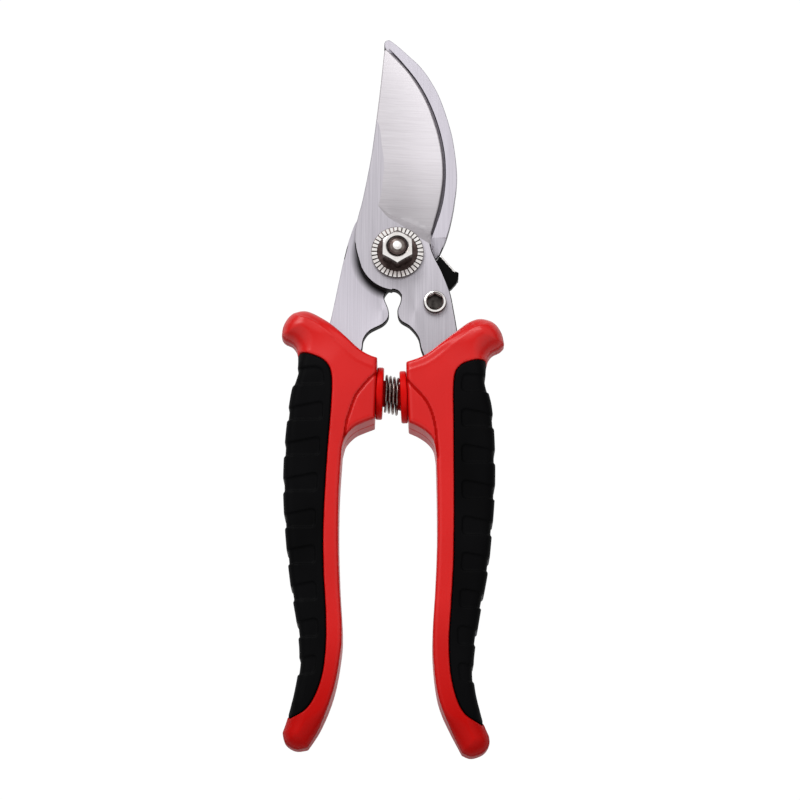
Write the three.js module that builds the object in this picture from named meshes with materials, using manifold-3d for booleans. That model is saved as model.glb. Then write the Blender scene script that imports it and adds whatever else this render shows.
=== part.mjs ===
// Bypass pruning shears, closed and locked. Millimetres, +Z up, lying flat with the blade tip towards +Y.
// The origin is on the pivot axis, at the flat outer face of the pivot bolt's head, so every layer of the
// pivot stacks up from z = 0. The hook side carries the counter-blade, the left handle and the pivot bolt.
// The blade side turns about the pivot with the cutting blade and the right handle, and carries the catch.
import * as THREE from "three";
import { mergeVertices } from "three/addons/utils/BufferGeometryUtils.js";
import Module from "manifold-3d";

const wasm = await Module();
wasm.setup();

// ---------------------------------------------------------------- driving dimensions

// How far the tool reaches from the pivot, and the reach that the outlines below are drawn for.
const HANDLE_REACH = 137.1;
const DRAWN_HANDLE_REACH = 137.1;
const STRAIGHT_FROM = 56; // the handles stretch only beyond their spring bosses
const BLADE_REACH = 63.4;
const DRAWN_BLADE_REACH = 63.4;

const HANDLE_THICKNESS = 15.1;
const HANDLE_ROUNDING = 1.8;
const GRIP_GAP = 0.3; // between the red moulding and the soft grip
const CORE_WALL = 1.6; // moulding left around the tang under the grip
const TANG_GAP = 0.3;

const HEAD_RADIUS = 6;
const HEAD_HEIGHT = 3.2;
const HEAD_CHAMFER = 0.6;
const PIVOT_RADIUS = 3.25;
const RUNNING_CLEARANCE = 0.05;
const THREAD_RADIUS = 2.5;
const THREAD_CLEARANCE = 0.1;
const LAYER_GAP = 0.1;
const REAR_WASHER_RADIUS = 7;
const REAR_WASHER_THICKNESS = 1;
const HOOK_THICKNESS = 3.2;
const BLADE_THICKNESS = 3;
const SERRATED_RADIUS = 7.2;
const SERRATED_THICKNESS = 1.2;
const SERRATIONS = 36;
const SERRATION_DEPTH = 0.3;
const NUT_ACROSS_FLATS = 8;
const NUT_HEIGHT = 5.5;
const INSERT_RADIUS = 3.3;
const INSERT_HEIGHT = 1.3;
const BOLT_STANDOUT = 0.6;
const BOLT_CHAMFER = 0.5;

// The heels are round about the pivot, between these angles in degrees.
const HEEL_RADIUS = 11.2;
const HOOK_HEEL_FROM = -83;
const HOOK_HEEL_TO = -23.5;
const BLADE_HEEL_RADIUS = 10.7;
const BLADE_HEEL_FROM = -145;
const BLADE_HEEL_TO = -98;
const CROTCH_RADIUS = 2.25;
const CROTCH_X = -1.2;
const CROTCH_Y = -12.6;

const CATCH_X = 10.2;
const CATCH_Y = -14.2;
const CATCH_THICKNESS = 2.4;
const CATCH_EYE_RADIUS = 4.6;
const CATCH_SCREW_RADIUS = 2;
const CATCH_HEAD_RADIUS = 3.15;
const CATCH_HEAD_HEIGHT = 1.6;
const CATCH_HEAD_CHAMFER = 0.3;
const CATCH_SCREW_STANDOUT = 0.4;
const SOCKET_ACROSS_FLATS = 3.8;
const SOCKET_DEPTH = 1.2;
const WAVE_WASHER_RADIUS = 3.9;
const WAVE_WASHER_THICKNESS = 0.5;
const CATCH_NUT_ACROSS_FLATS = 7;
const CATCH_NUT_HEIGHT = 2.6;
const TAB_X = 16.8; // its outer face
const TAB_TAPER = 0.1;
const TAB_HEIGHT = 4.6;
const TAB_THICKNESS = 1.9;

const LEFT_SEAT = new THREE.Vector2(-5.75, -38.8); // middle of the left boss's end face
const RIGHT_SEAT = new THREE.Vector2(2.7, -39.8);
const SEAT_TILT = THREE.MathUtils.degToRad(2.4); // each end face leans back towards the handle's end
const SEAT_RADIUS = 7.1;
const SEAT_THICKNESS = 1.8;
const SEAT_GAP = 0.1;
const STEM_RADIUS = 2.6;
const STEM_LENGTH = 5;
const STEM_CLEARANCE = 0.15;
const PEG_RADIUS = 3.7;
const PEG_HEIGHT = 1.9;
const PEG_TAPER = 0.3;
const SEAT_CHAMFER = 0.4;

const COIL_RADIUS = 4.85; // to the middle of the wire
const WIRE_RADIUS = 0.42;
const COIL_TURNS = 4;
const COIL_END_GAP = 0.05;

// How finely the shapes are cut up.
const SIDES = 32; // of a circle
const WIRE_SIDES = 6;
const COIL_STEPS = 22; // in each turn
const ROUNDING_STEPS = 2;
const HANDLE_STEP = 3.2; // along an outline
const BLADE_STEP = 2.6;
const GRIP_STEP = 3;

// ---------------------------------------------------------------- heights of the layers

const rearWasherZ = HEAD_HEIGHT + LAYER_GAP / 2;
const hookZ = rearWasherZ + REAR_WASHER_THICKNESS + LAYER_GAP / 2;
const contactZ = hookZ + HOOK_THICKNESS;
const bladeZ = contactZ + LAYER_GAP;
const bladeTopZ = bladeZ + BLADE_THICKNESS;
const serratedZ = bladeTopZ + LAYER_GAP;
const nutZ = serratedZ + SERRATED_THICKNESS + LAYER_GAP / 2;
const boltTopZ = nutZ + NUT_HEIGHT + BOLT_STANDOUT;
const middleZ = contactZ + LAYER_GAP / 2; // the handles' parting plane
const handleZ = middleZ - HANDLE_THICKNESS / 2;
const catchZ = bladeZ - LAYER_GAP - CATCH_THICKNESS;
const coreZ = hookZ - TANG_GAP - CORE_WALL;
const coreHeight = bladeTopZ + TANG_GAP + CORE_WALL - coreZ;

// ---------------------------------------------------------------- helpers

// A closed geometry as a solid that can be joined and cut.
function solid(geometry) {
  const bare = geometry.index ? geometry.toNonIndexed() : geometry.clone();
  bare.deleteAttribute("normal");
  bare.deleteAttribute("uv");
  const merged = mergeVertices(bare, 1e-4);
  const corners = merged.index.array;
  const kept = [];
  for (let i = 0; i < corners.length; i += 3) {
    const [a, b, c] = corners.slice(i, i + 3);
    if (a !== b && b !== c && c !== a) kept.push(a, b, c);
  }
  return new wasm.Manifold(
    new wasm.Mesh({
      numProp: 3,
      vertProperties: merged.attributes.position.array,
      triVerts: new Uint32Array(kept),
    }),
  );
}

// A solid's surface as flat-shaded geometry.
function surface(shape) {
  const mesh = shape.getMesh();
  const geometry = new THREE.BufferGeometry();
  geometry.setAttribute("position", new THREE.BufferAttribute(mesh.vertProperties, 3));
  geometry.setIndex(new THREE.BufferAttribute(mesh.triVerts, 1));
  const flat = geometry.toNonIndexed();
  flat.computeVertexNormals();
  return flat;
}

// A closed outline made of stretches. Each stretch is a list of [x, y] points and starts where the one
// before it ends. Two points make a straight stretch, more make one smooth curve, and the joints stay sharp.
function outline(stretches, step) {
  const points = [];
  for (const stretch of stretches) {
    const curve = new THREE.SplineCurve(stretch.map(([x, y]) => new THREE.Vector2(x, y)));
    const pieces = stretch.length === 2 ? 1 : Math.max(2, Math.round(curve.getLength() / step));
    points.push(...curve.getSpacedPoints(pieces).slice(0, -1));
  }
  return points;
}

// The point at a radius and an angle in degrees about the pivot.
function polar(radius, degrees) {
  const angle = THREE.MathUtils.degToRad(degrees);
  return [radius * Math.cos(angle), radius * Math.sin(angle)];
}

// Points along an arc about a centre, from one angle to another in degrees.
function arc(x, y, radius, from, to) {
  const pieces = Math.ceil((Math.abs(to - from) * SIDES) / 360);
  const points = [];
  for (let i = 0; i <= pieces; i++) {
    const [u, v] = polar(radius, from + ((to - from) * i) / pieces);
    points.push([x + u, y + v]);
  }
  return points;
}

// A circle's corners, anticlockwise from an angle in degrees.
function circle(x, y, radius, sides = SIDES, first = 0) {
  const corners = [];
  for (let i = 0; i < sides; i++) {
    const [u, v] = polar(radius, first + (360 * i) / sides);
    corners.push(new THREE.Vector2(x + u, y + v));
  }
  return corners;
}

// An anticlockwise outline moved outwards by a distance, with mitred corners.
function grown(points, distance) {
  return points.map((point, i) => {
    const before = points.at(i - 1);
    const after = points[(i + 1) % points.length];
    const into = point.clone().sub(before).normalize();
    const out = after.clone().sub(point).normalize();
    const normal = new THREE.Vector2(into.y + out.y, -into.x - out.x);
    return point.clone().addScaledVector(normal, distance / (1 + into.dot(out)));
  });
}

// A flat plate of an outline, with round holes given as [x, y, radius].
function plate(points, z, thickness, holes = []) {
  const shape = new THREE.Shape(points);
  for (const [x, y, radius] of holes) {
    shape.holes.push(new THREE.Path(circle(x, y, radius)));
  }
  const geometry = new THREE.ExtrudeGeometry(shape, { depth: thickness, bevelEnabled: false });
  return solid(geometry.translate(0, 0, z));
}

// The same plate with its edges rounded over, keeping its full outline at mid-thickness.
function cushion(points, z, thickness, rounding) {
  const geometry = new THREE.ExtrudeGeometry(new THREE.Shape(points), {
    depth: thickness - 2 * rounding,
    bevelThickness: rounding,
    bevelSize: rounding,
    bevelOffset: -rounding,
    bevelSegments: ROUNDING_STEPS,
  });
  return solid(geometry.translate(0, 0, z + rounding));
}

// A turned piece standing on z = 0, from its profile of [radius, height] points.
function turned(profile) {
  const points = profile.map(([radius, height]) => new THREE.Vector2(radius, height));
  return new THREE.LatheGeometry(points, SIDES).rotateX(Math.PI / 2);
}

function ring(inner, outer, height) {
  return turned([
    [inner, 0],
    [outer, 0],
    [outer, height],
    [inner, height],
    [inner, 0],
  ]);
}

// A hexagon with its corners up and down, by its distance across flats.
function hexagon(acrossFlats) {
  return circle(0, 0, acrossFlats / Math.sqrt(3), 6, 30);
}

// Outlines are drawn for the standard reach. These carry a drawn point to the reach asked for.
function onHandle([x, y]) {
  const share = (HANDLE_REACH - STRAIGHT_FROM) / (DRAWN_HANDLE_REACH - STRAIGHT_FROM);
  return y > -STRAIGHT_FROM ? [x, y] : [x, -STRAIGHT_FROM + (y + STRAIGHT_FROM) * share];
}

function onBlade([x, y]) {
  const from = REAR_WASHER_RADIUS;
  const share = (BLADE_REACH - from) / (DRAWN_BLADE_REACH - from);
  return y < from ? [x, y] : [x, from + (y - from) * share];
}

const handleOutline = (stretches) => outline(stretches.map((s) => s.map(onHandle)), HANDLE_STEP);
const bladeOutline = (stretches) => outline(stretches.map((s) => s.map(onBlade)), BLADE_STEP);

// ---------------------------------------------------------------- materials

const steel = { color: 0xb9b6bd, roughness: 0.38, metalness: 1 };
const nickel = { color: 0xd8d4ce, roughness: 0.2, metalness: 1 };
const blackSteel = { color: 0x1b1c1e, roughness: 0.45, metalness: 0.6 };
const redPlastic = { color: 0xd12a26, roughness: 0.35, metalness: 0 };
const blackGrip = { color: 0x17181a, roughness: 0.75, metalness: 0 };
const nylon = { color: 0x2b2420, roughness: 0.6, metalness: 0 };

const hookSide = new THREE.Group();
const bladeSide = new THREE.Group();
const catchGroup = new THREE.Group();

// Adds one named piece to a group. It takes a solid or a geometry.
function piece(group, name, shape, finish, position = [0, 0, 0]) {
  const geometry = shape.isBufferGeometry ? surface(solid(shape)) : surface(shape);
  const mesh = new THREE.Mesh(geometry, new THREE.MeshStandardMaterial(finish));
  mesh.name = name;
  mesh.position.set(...position);
  group.add(mesh);
  return mesh;
}

// ---------------------------------------------------------------- hook plate (counter-blade)

// The working end, anticlockwise: outer edge up to the blunt tip, concave inner edge, shoulder, tang root,
// crotch, heel and the notch that the catch drops into.
const hookHead = bladeOutline([
  [[11.7, 1], [13.5, 5.3], [14.9, 10.5], [15.9, 16.3], [16.5, 22.5], [15.9, 30.3], [14.6, 37.3],
    [11.9, 45.9], [9.1, 51.5], [6.3, 55.5], [3.5, 58.3], [0.7, 61], [-1.8, 63.1]],
  [[-1.8, 63.1], [-2.7, 63.4], [-3.6, 62.7], [-3.7, 61.3]],
  [[-3.7, 61.3], [0, 54], [4.2, 44.5], [7.2, 34], [7.8, 24], [5.6, 17], [1, 13.2], [-5, 12.6],
    [-10.6, 10.8], [-13, 5.6], [-14.7, -1], [-15.9, -6.7], [-17.3, -13.8], [-18.4, -18.9], [-20.4, -25.5]],
  [[-20.4, -25.5], [-12.6, -33.2]],
  [[-12.6, -33.2], [-9.9, -27.1], [-9.2, -23.6], [-7.5, -21.2], [-3.9, -19.2], [-2.4, -17.2], [-2.5, -15],
    [-3.6, -12], [-3.3, -10.7], [-2.3, -9.5], [-1, -9.1], [0.3, -9.5], polar(HEEL_RADIUS, HOOK_HEEL_FROM)],
  arc(0, 0, HEEL_RADIUS, HOOK_HEEL_FROM, HOOK_HEEL_TO),
  [polar(HEEL_RADIUS, HOOK_HEEL_TO), [9.1, -3.5]],
  [[9.1, -3.5], [9.1, -2.3]],
  [[9.1, -2.3], [11.7, 1]],
]);

// The tang, buried in the left handle.
const hookTang = handleOutline([
  [[-17.6, -16.5], [-18.4, -18.9], [-21.2, -28], [-23.6, -40], [-24.9, -55], [-24.8, -76], [-23.4, -92]],
  [[-23.4, -92], [-21, -94.2], [-18.8, -92]],
  [[-18.8, -92], [-19, -76], [-18.7, -60], [-17.4, -45], [-13.6, -34.5], [-10.2, -28.4]],
  [[-10.2, -28.4], [-17.6, -16.5]],
]);

piece(
  hookSide,
  "hook_plate",
  plate(hookHead, hookZ, HOOK_THICKNESS, [[0, 0, PIVOT_RADIUS + RUNNING_CLEARANCE]]).add(
    plate(hookTang, hookZ, HOOK_THICKNESS),
  ),
  steel,
);

// ---------------------------------------------------------------- blade plate (cutting blade)

// The working end, anticlockwise from the foot of the cutting edge: edge to the tip, spine, heel,
// crotch and the root of the tang.
const bladeHead = bladeOutline([
  [[9.2, 3], [9.2, 6.3]],
  [[9.2, 6.3], [10.3, 10.1], [11.7, 15.2], [12.6, 22.5], [12.4, 28.3], [11.1, 35], [9, 41.4], [5.9, 49],
    [3.6, 52.9], [1.1, 55.8], [-3, 60.3]],
  [[-3, 60.3], [-3.7, 59.7]],
  [[-3.7, 59.7], [-4.3, 53.2], [-5.1, 45], [-6.2, 35.6], [-7.4, 26.8], [-9.4, 16.1], [-10.8, 10.4],
    [-11.6, 6.6], [-11.7, 3.7], [-11.2, 0.4], [-9.9, -4.2]],
  [[-9.9, -4.2], ...arc(0, 0, BLADE_HEEL_RADIUS, BLADE_HEEL_FROM, BLADE_HEEL_TO)],
  [polar(BLADE_HEEL_RADIUS, BLADE_HEEL_TO),
    ...arc(CROTCH_X, CROTCH_Y, CROTCH_RADIUS, 100, 10), [0.8, -14], [0, -16.4], [0.7, -19], [3.4, -20.9],
    [5.6, -23.8], [6.5, -27.4], [8.6, -32]],
  [[8.6, -32], [17, -27.5]],
  [[17, -27.5], [16.2, -21.8], [15.3, -16.2], [14.3, -11.1], [12.2, -5.4], [10, -0.8], [9, 2.3], [9.2, 3]],
]);

const bladeTang = handleOutline([
  [[15.3, -18], [16.2, -21.8], [18.7, -33], [20.4, -45], [21.3, -60], [21, -76], [19.6, -91]],
  [[19.6, -91], [17.4, -93.2], [15.2, -91]],
  [[15.2, -91], [15.8, -76], [15.7, -60], [14.6, -45], [11.6, -36], [7, -29.5]],
  [[7, -29.5], [15.3, -18]],
].map((stretch) => stretch.slice().reverse()).reverse());

piece(
  bladeSide,
  "blade_plate",
  plate(bladeHead, bladeZ, BLADE_THICKNESS, [
    [0, 0, PIVOT_RADIUS + RUNNING_CLEARANCE],
    [CATCH_X, CATCH_Y, CATCH_SCREW_RADIUS + RUNNING_CLEARANCE],
  ]).add(plate(bladeTang, bladeZ, BLADE_THICKNESS)),
  steel,
);

// ---------------------------------------------------------------- handles

// x of a boss's end face at a height y, from its seat's middle and lean.
const leftEnd = (y) => LEFT_SEAT.x + (y - LEFT_SEAT.y) * Math.tan(SEAT_TILT);
const rightEnd = (y) => RIGHT_SEAT.x - (y - RIGHT_SEAT.y) * Math.tan(SEAT_TILT);

// Each handle's whole outline, anticlockwise: boss, shoulder and horn, the outer side down to the end,
// and the inner side back up to the boss.
const leftHandle = handleOutline([
  [[leftEnd(-30.4), -30.4], [-7.6, -29.6], [-10.1, -28.1], [-12.8, -25.6], [-18, -20.5], [-22.4, -17.4],
    [-25.6, -16.4], [-28.9, -17.5], [-30.9, -20.4], [-31.4, -23.4]],
  [[-31.4, -23.4], [-30.5, -24.6], [-28.4, -25.7], [-27.1, -28.1], [-26.9, -33.5], [-28.6, -40], [-29.8, -50],
    [-30.4, -60], [-30.3, -70], [-29.4, -82], [-28.1, -93], [-26.4, -103], [-25.7, -112], [-27, -121],
    [-28.8, -127.4], [-30, -130.8]],
  [[-30, -130.8], [-29.1, -133.6], [-26.4, -135], [-23.6, -134.5]],
  [[-23.6, -134.5], [-20.4, -129.4], [-16.7, -120.4], [-14.9, -111], [-14.5, -104], [-15.2, -92],
    [-15.6, -80], [-15.5, -68], [-14.8, -55.5]],
  [[-14.8, -55.5], [-13.8, -52.2], [-11.4, -49.6], [-8.7, -48.3], [leftEnd(-47.3), -47.3]],
  [[leftEnd(-47.3), -47.3], [leftEnd(-30.4), -30.4]],
]);

const rightHandle = handleOutline([
  [[rightEnd(-31.6), -31.6], [rightEnd(-48.4), -48.4]],
  [[rightEnd(-48.4), -48.4], [5.5, -49.5], [8.1, -51.3], [9.8, -53.7], [10.4, -57.4]],
  [[10.4, -57.4], [10.6, -68], [10.6, -80], [10.1, -92], [9.4, -103], [9.4, -112], [10.7, -122],
    [13.8, -130], [17, -136.2]],
  [[17, -136.2], [19.3, -137.1], [22.4, -136.2], [23.9, -134.2], [24, -131.8]],
  [[24, -131.8], [22.1, -127.2], [20.4, -120.3], [20, -114], [20.7, -107], [22.2, -98], [24, -88.5],
    [25.2, -77.5], [26, -67], [26.1, -55], [25.4, -44], [23.8, -36.5], [24.3, -30.6], [25.6, -28.2],
    [27.8, -27], [29, -25.8]],
  [[29, -25.8], [28.3, -22.6], [26.3, -19.8], [22.8, -18.6], [19.4, -19.7], [15.9, -22.6],
    [11.5, -26.5], [8.4, -29], [6.1, -30.3], [rightEnd(-31.6), -31.6]],
]);

// The soft grip's inner border, from its top at the outer side round to its foot at the outer side.
const leftBorder = [
  [-40, -28.6], [-27.6, -28.7], [-23.5, -29.4], [-19.4, -31.6], [-17.7, -35.5], [-17.8, -44], [-18.8, -58],
  [-19.6, -75], [-19.5, -88], [-18.8, -100], [-18.8, -109], [-20, -117.5], [-23.2, -124.4], [-28.2, -127.4],
  [-40, -131],
];
const rightBorder = [
  [36, -30.6], [24.6, -30.8], [20.4, -31.2], [16.8, -32.9], [15.2, -37], [15.1, -50], [15.1, -70],
  [14.9, -85], [14.2, -97.5], [13.6, -108], [14.3, -117.8], [17, -125.6], [22.2, -129.2], [36, -136],
];

// The area of a grip: everything on the outer side of its border.
function gripArea(border, growth) {
  const drawn = border.map(onHandle);
  const edge = outline([drawn, [drawn.at(-1), drawn[0]]], GRIP_STEP);
  return grown(edge, growth);
}

// A handle's red moulding and its soft grip. The moulding keeps a core around the tang, and the grip
// wraps that core.
function handle(side, group, whole, area, head, tang, tangZ, tangThickness, seatSocket) {
  const envelope = cushion(whole, handleZ, HANDLE_THICKNESS, HANDLE_ROUNDING);
  const core = plate(grown(tang, TANG_GAP + CORE_WALL), coreZ, coreHeight);
  const pocketZ = tangZ - TANG_GAP;
  const pocketHeight = tangThickness + 2 * TANG_GAP;
  const pocket = plate(grown(tang, TANG_GAP), pocketZ, pocketHeight);
  const mouth = plate(grown(head, TANG_GAP), pocketZ, pocketHeight);
  const bed = plate(
    grown(tang, TANG_GAP + CORE_WALL + GRIP_GAP),
    coreZ - GRIP_GAP,
    coreHeight + 2 * GRIP_GAP,
  );
  const body = envelope
    .subtract(plate(area(GRIP_GAP), handleZ - 1, HANDLE_THICKNESS + 2))
    .add(envelope.intersect(core))
    .subtract(pocket)
    .subtract(mouth)
    .subtract(seatSocket);
  const grip = envelope.intersect(plate(area(0), handleZ - 1, HANDLE_THICKNESS + 2)).subtract(bed);
  piece(group, `${side}_handle_body`, body, redPlastic);
  piece(group, `${side}_grip`, grip, blackGrip);
}

// The stem hole of a spring seat, drilled square to the boss's end face.
function socket(middle, turn) {
  const hole = turned([
    [0, -STEM_LENGTH - STEM_CLEARANCE],
    [STEM_RADIUS + STEM_CLEARANCE, -STEM_LENGTH - STEM_CLEARANCE],
    [STEM_RADIUS + STEM_CLEARANCE, SEAT_THICKNESS],
    [0, SEAT_THICKNESS],
  ]);
  return solid(hole.rotateY(Math.PI / 2).rotateZ(turn).translate(middle.x, middle.y, middleZ));
}

const leftTurn = -SEAT_TILT;
const rightTurn = Math.PI + SEAT_TILT;
handle(
  "left",
  hookSide,
  leftHandle,
  (growth) => gripArea(leftBorder.slice().reverse(), growth),
  hookHead,
  hookTang,
  hookZ,
  HOOK_THICKNESS,
  socket(LEFT_SEAT, leftTurn),
);
handle(
  "right",
  bladeSide,
  rightHandle,
  (growth) => gripArea(rightBorder, growth),
  bladeHead,
  bladeTang,
  bladeZ,
  BLADE_THICKNESS,
  socket(RIGHT_SEAT, rightTurn),
);

// ---------------------------------------------------------------- pivot

piece(
  hookSide,
  "pivot_bolt",
  turned([
    [0, 0],
    [HEAD_RADIUS - HEAD_CHAMFER, 0],
    [HEAD_RADIUS, HEAD_CHAMFER],
    [HEAD_RADIUS, HEAD_HEIGHT],
    [PIVOT_RADIUS, HEAD_HEIGHT],
    [PIVOT_RADIUS, bladeTopZ + LAYER_GAP / 2],
    [THREAD_RADIUS, bladeTopZ + LAYER_GAP / 2],
    [THREAD_RADIUS, boltTopZ - BOLT_CHAMFER],
    [THREAD_RADIUS - BOLT_CHAMFER, boltTopZ],
    [0, boltTopZ],
  ]),
  nickel,
);

piece(
  hookSide,
  "rear_washer",
  ring(PIVOT_RADIUS + THREAD_CLEARANCE, REAR_WASHER_RADIUS, REAR_WASHER_THICKNESS),
  nickel,
  [0, 0, rearWasherZ],
);

const serratedEdge = [];
for (let i = 0; i < SERRATIONS; i++) {
  const pitch = (2 * Math.PI) / SERRATIONS;
  for (const [turn, radius] of [
    [0, SERRATED_RADIUS - SERRATION_DEPTH],
    [0.5, SERRATED_RADIUS],
  ]) {
    const angle = (i + turn) * pitch;
    serratedEdge.push(new THREE.Vector2(radius * Math.cos(angle), radius * Math.sin(angle)));
  }
}
piece(
  hookSide,
  "serrated_washer",
  plate(serratedEdge, serratedZ, SERRATED_THICKNESS, [[0, 0, THREAD_RADIUS + THREAD_CLEARANCE]]),
  nickel,
);

const insertRecess = turned([
  [0, 0],
  [INSERT_RADIUS + LAYER_GAP / 2, 0],
  [INSERT_RADIUS + LAYER_GAP / 2, NUT_HEIGHT],
  [0, NUT_HEIGHT],
]);
insertRecess.translate(0, 0, nutZ + NUT_HEIGHT - INSERT_HEIGHT - LAYER_GAP);
piece(
  hookSide,
  "pivot_nut",
  plate(hexagon(NUT_ACROSS_FLATS), nutZ, NUT_HEIGHT, [
    [0, 0, THREAD_RADIUS + THREAD_CLEARANCE],
  ]).subtract(solid(insertRecess)),
  nickel,
);

piece(
  hookSide,
  "nut_lock_insert",
  ring(THREAD_RADIUS + THREAD_CLEARANCE, INSERT_RADIUS, INSERT_HEIGHT),
  nylon,
  [0, 0, nutZ + NUT_HEIGHT - INSERT_HEIGHT - LAYER_GAP / 2],
);

// ---------------------------------------------------------------- spring and its seats

// A moulded disc with a stem in the boss and a peg inside the coil.
const seatTop = SEAT_GAP + SEAT_THICKNESS;
const seatShape = turned([
  [0, -STEM_LENGTH],
  [STEM_RADIUS, -STEM_LENGTH],
  [STEM_RADIUS, SEAT_GAP],
  [SEAT_RADIUS - SEAT_CHAMFER, SEAT_GAP],
  [SEAT_RADIUS, SEAT_GAP + SEAT_CHAMFER],
  [SEAT_RADIUS, seatTop - SEAT_CHAMFER],
  [SEAT_RADIUS - SEAT_CHAMFER, seatTop],
  [PEG_RADIUS, seatTop],
  [PEG_RADIUS - PEG_TAPER, seatTop + PEG_HEIGHT],
  [0, seatTop + PEG_HEIGHT],
]).rotateY(Math.PI / 2);

const leftPlace = [LEFT_SEAT.x, LEFT_SEAT.y, middleZ];
const leftSeat = piece(hookSide, "left_spring_seat", seatShape, redPlastic, leftPlace);
leftSeat.rotation.z = leftTurn;
const rightPlace = [RIGHT_SEAT.x, RIGHT_SEAT.y, middleZ];
const rightSeat = piece(bladeSide, "right_spring_seat", seatShape, redPlastic, rightPlace);
rightSeat.rotation.z = rightTurn;

// The coil runs from seat to seat, squeezed almost shut. It is wound so that each end turn leaves its
// seat on the side that the seat leans away from.
class Coil extends THREE.Curve {
  getPoint(t, target = new THREE.Vector3()) {
    const reach = seatTop + COIL_END_GAP + WIRE_RADIUS;
    const from = LEFT_SEAT.x + reach;
    const to = RIGHT_SEAT.x - reach;
    const turn = 2 * Math.PI * COIL_TURNS * t;
    return target.set(
      from + (to - from) * t,
      LEFT_SEAT.y + (RIGHT_SEAT.y - LEFT_SEAT.y) * t - COIL_RADIUS * Math.sin(turn),
      middleZ - COIL_RADIUS * Math.cos(turn),
    );
  }
}
const wireSection = new THREE.Shape(circle(0, 0, WIRE_RADIUS, WIRE_SIDES));
const coilSteps = Math.round(COIL_TURNS * COIL_STEPS);
piece(
  hookSide,
  "opening_spring",
  new THREE.ExtrudeGeometry(wireSection, { steps: coilSteps, extrudePath: new Coil() }),
  steel,
);

// ---------------------------------------------------------------- catch

// These pieces are placed about the catch screw's axis.
catchGroup.position.set(CATCH_X, CATCH_Y, 0);
const aboutScrew = ([x, y]) => new THREE.Vector2(x - CATCH_X, y - CATCH_Y);

// The arm with its nose in the hook plate's notch, the eye on the screw, and the bent thumb tab.
const catchArm = [
  [7.4, -10.8], [8.6, -9], [11.4, -5.2], [9.9, -3.5], [9.5, -2.7], [11.9, 0.5], [15.8, -4.1], [16.8, -4.6],
  [16.7, -6.4], [16.1, -7.6], [14.7, -9.2], [13.4, -9.8], [13.4, -11.5],
].reverse().map(aboutScrew);
const tabOutline = [
  [TAB_X - TAB_THICKNESS, -4.6], [TAB_X, -4.6], [TAB_X - TAB_TAPER, -6.4], [TAB_X - TAB_THICKNESS, -6.4],
].reverse().map(aboutScrew);
const eye = circle(0, 0, CATCH_EYE_RADIUS);
const screwHole = plate(circle(0, 0, CATCH_SCREW_RADIUS + RUNNING_CLEARANCE), 0, boltTopZ);
piece(
  catchGroup,
  "lock_catch",
  plate(catchArm, catchZ, CATCH_THICKNESS)
    .add(plate(eye, catchZ, CATCH_THICKNESS))
    .add(plate(tabOutline, catchZ + CATCH_THICKNESS - TAB_HEIGHT, TAB_HEIGHT))
    .subtract(screwHole),
  blackSteel,
);

const waveZ = catchZ - LAYER_GAP - WAVE_WASHER_THICKNESS;
const catchNutZ = waveZ - LAYER_GAP - CATCH_NUT_HEIGHT;
const screwEndZ = catchNutZ - CATCH_SCREW_STANDOUT;
const headTopZ = bladeTopZ + CATCH_HEAD_HEIGHT;
const screwHead = turned([
  [0, screwEndZ],
  [CATCH_SCREW_RADIUS, screwEndZ],
  [CATCH_SCREW_RADIUS, bladeTopZ + LAYER_GAP / 2],
  [CATCH_HEAD_RADIUS, bladeTopZ + LAYER_GAP / 2],
  [CATCH_HEAD_RADIUS, headTopZ - CATCH_HEAD_CHAMFER],
  [CATCH_HEAD_RADIUS - CATCH_HEAD_CHAMFER, headTopZ],
  [0, headTopZ],
]);
const socketCut = plate(hexagon(SOCKET_ACROSS_FLATS), headTopZ - SOCKET_DEPTH, CATCH_HEAD_HEIGHT);
const onScrew = new THREE.Group();
onScrew.position.copy(catchGroup.position);
piece(onScrew, "catch_screw", solid(screwHead).subtract(socketCut), nickel);
piece(
  onScrew,
  "catch_wave_washer",
  ring(CATCH_SCREW_RADIUS + THREAD_CLEARANCE, WAVE_WASHER_RADIUS, WAVE_WASHER_THICKNESS),
  nickel,
  [0, 0, waveZ],
);
piece(
  onScrew,
  "catch_nut",
  plate(hexagon(CATCH_NUT_ACROSS_FLATS), catchNutZ, CATCH_NUT_HEIGHT, [
    [0, 0, CATCH_SCREW_RADIUS + THREAD_CLEARANCE],
  ]),
  nickel,
);

bladeSide.add(catchGroup, onScrew);
const group = new THREE.Group();
group.add(hookSide, bladeSide);
export default group;
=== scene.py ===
"""Bypass pruning shears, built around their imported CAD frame.

The handles, grips and catch are skins of smooth fields, the blades are triangulated plates with ground
surfaces, and the small hardware is turned. Lengths are in millimetres until a mesh is made, and the floor
and the light are in metres.
"""
import math

import bmesh
import bpy
import numpy as np
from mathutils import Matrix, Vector
from mathutils.geometry import delaunay_2d_cdt


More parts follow.
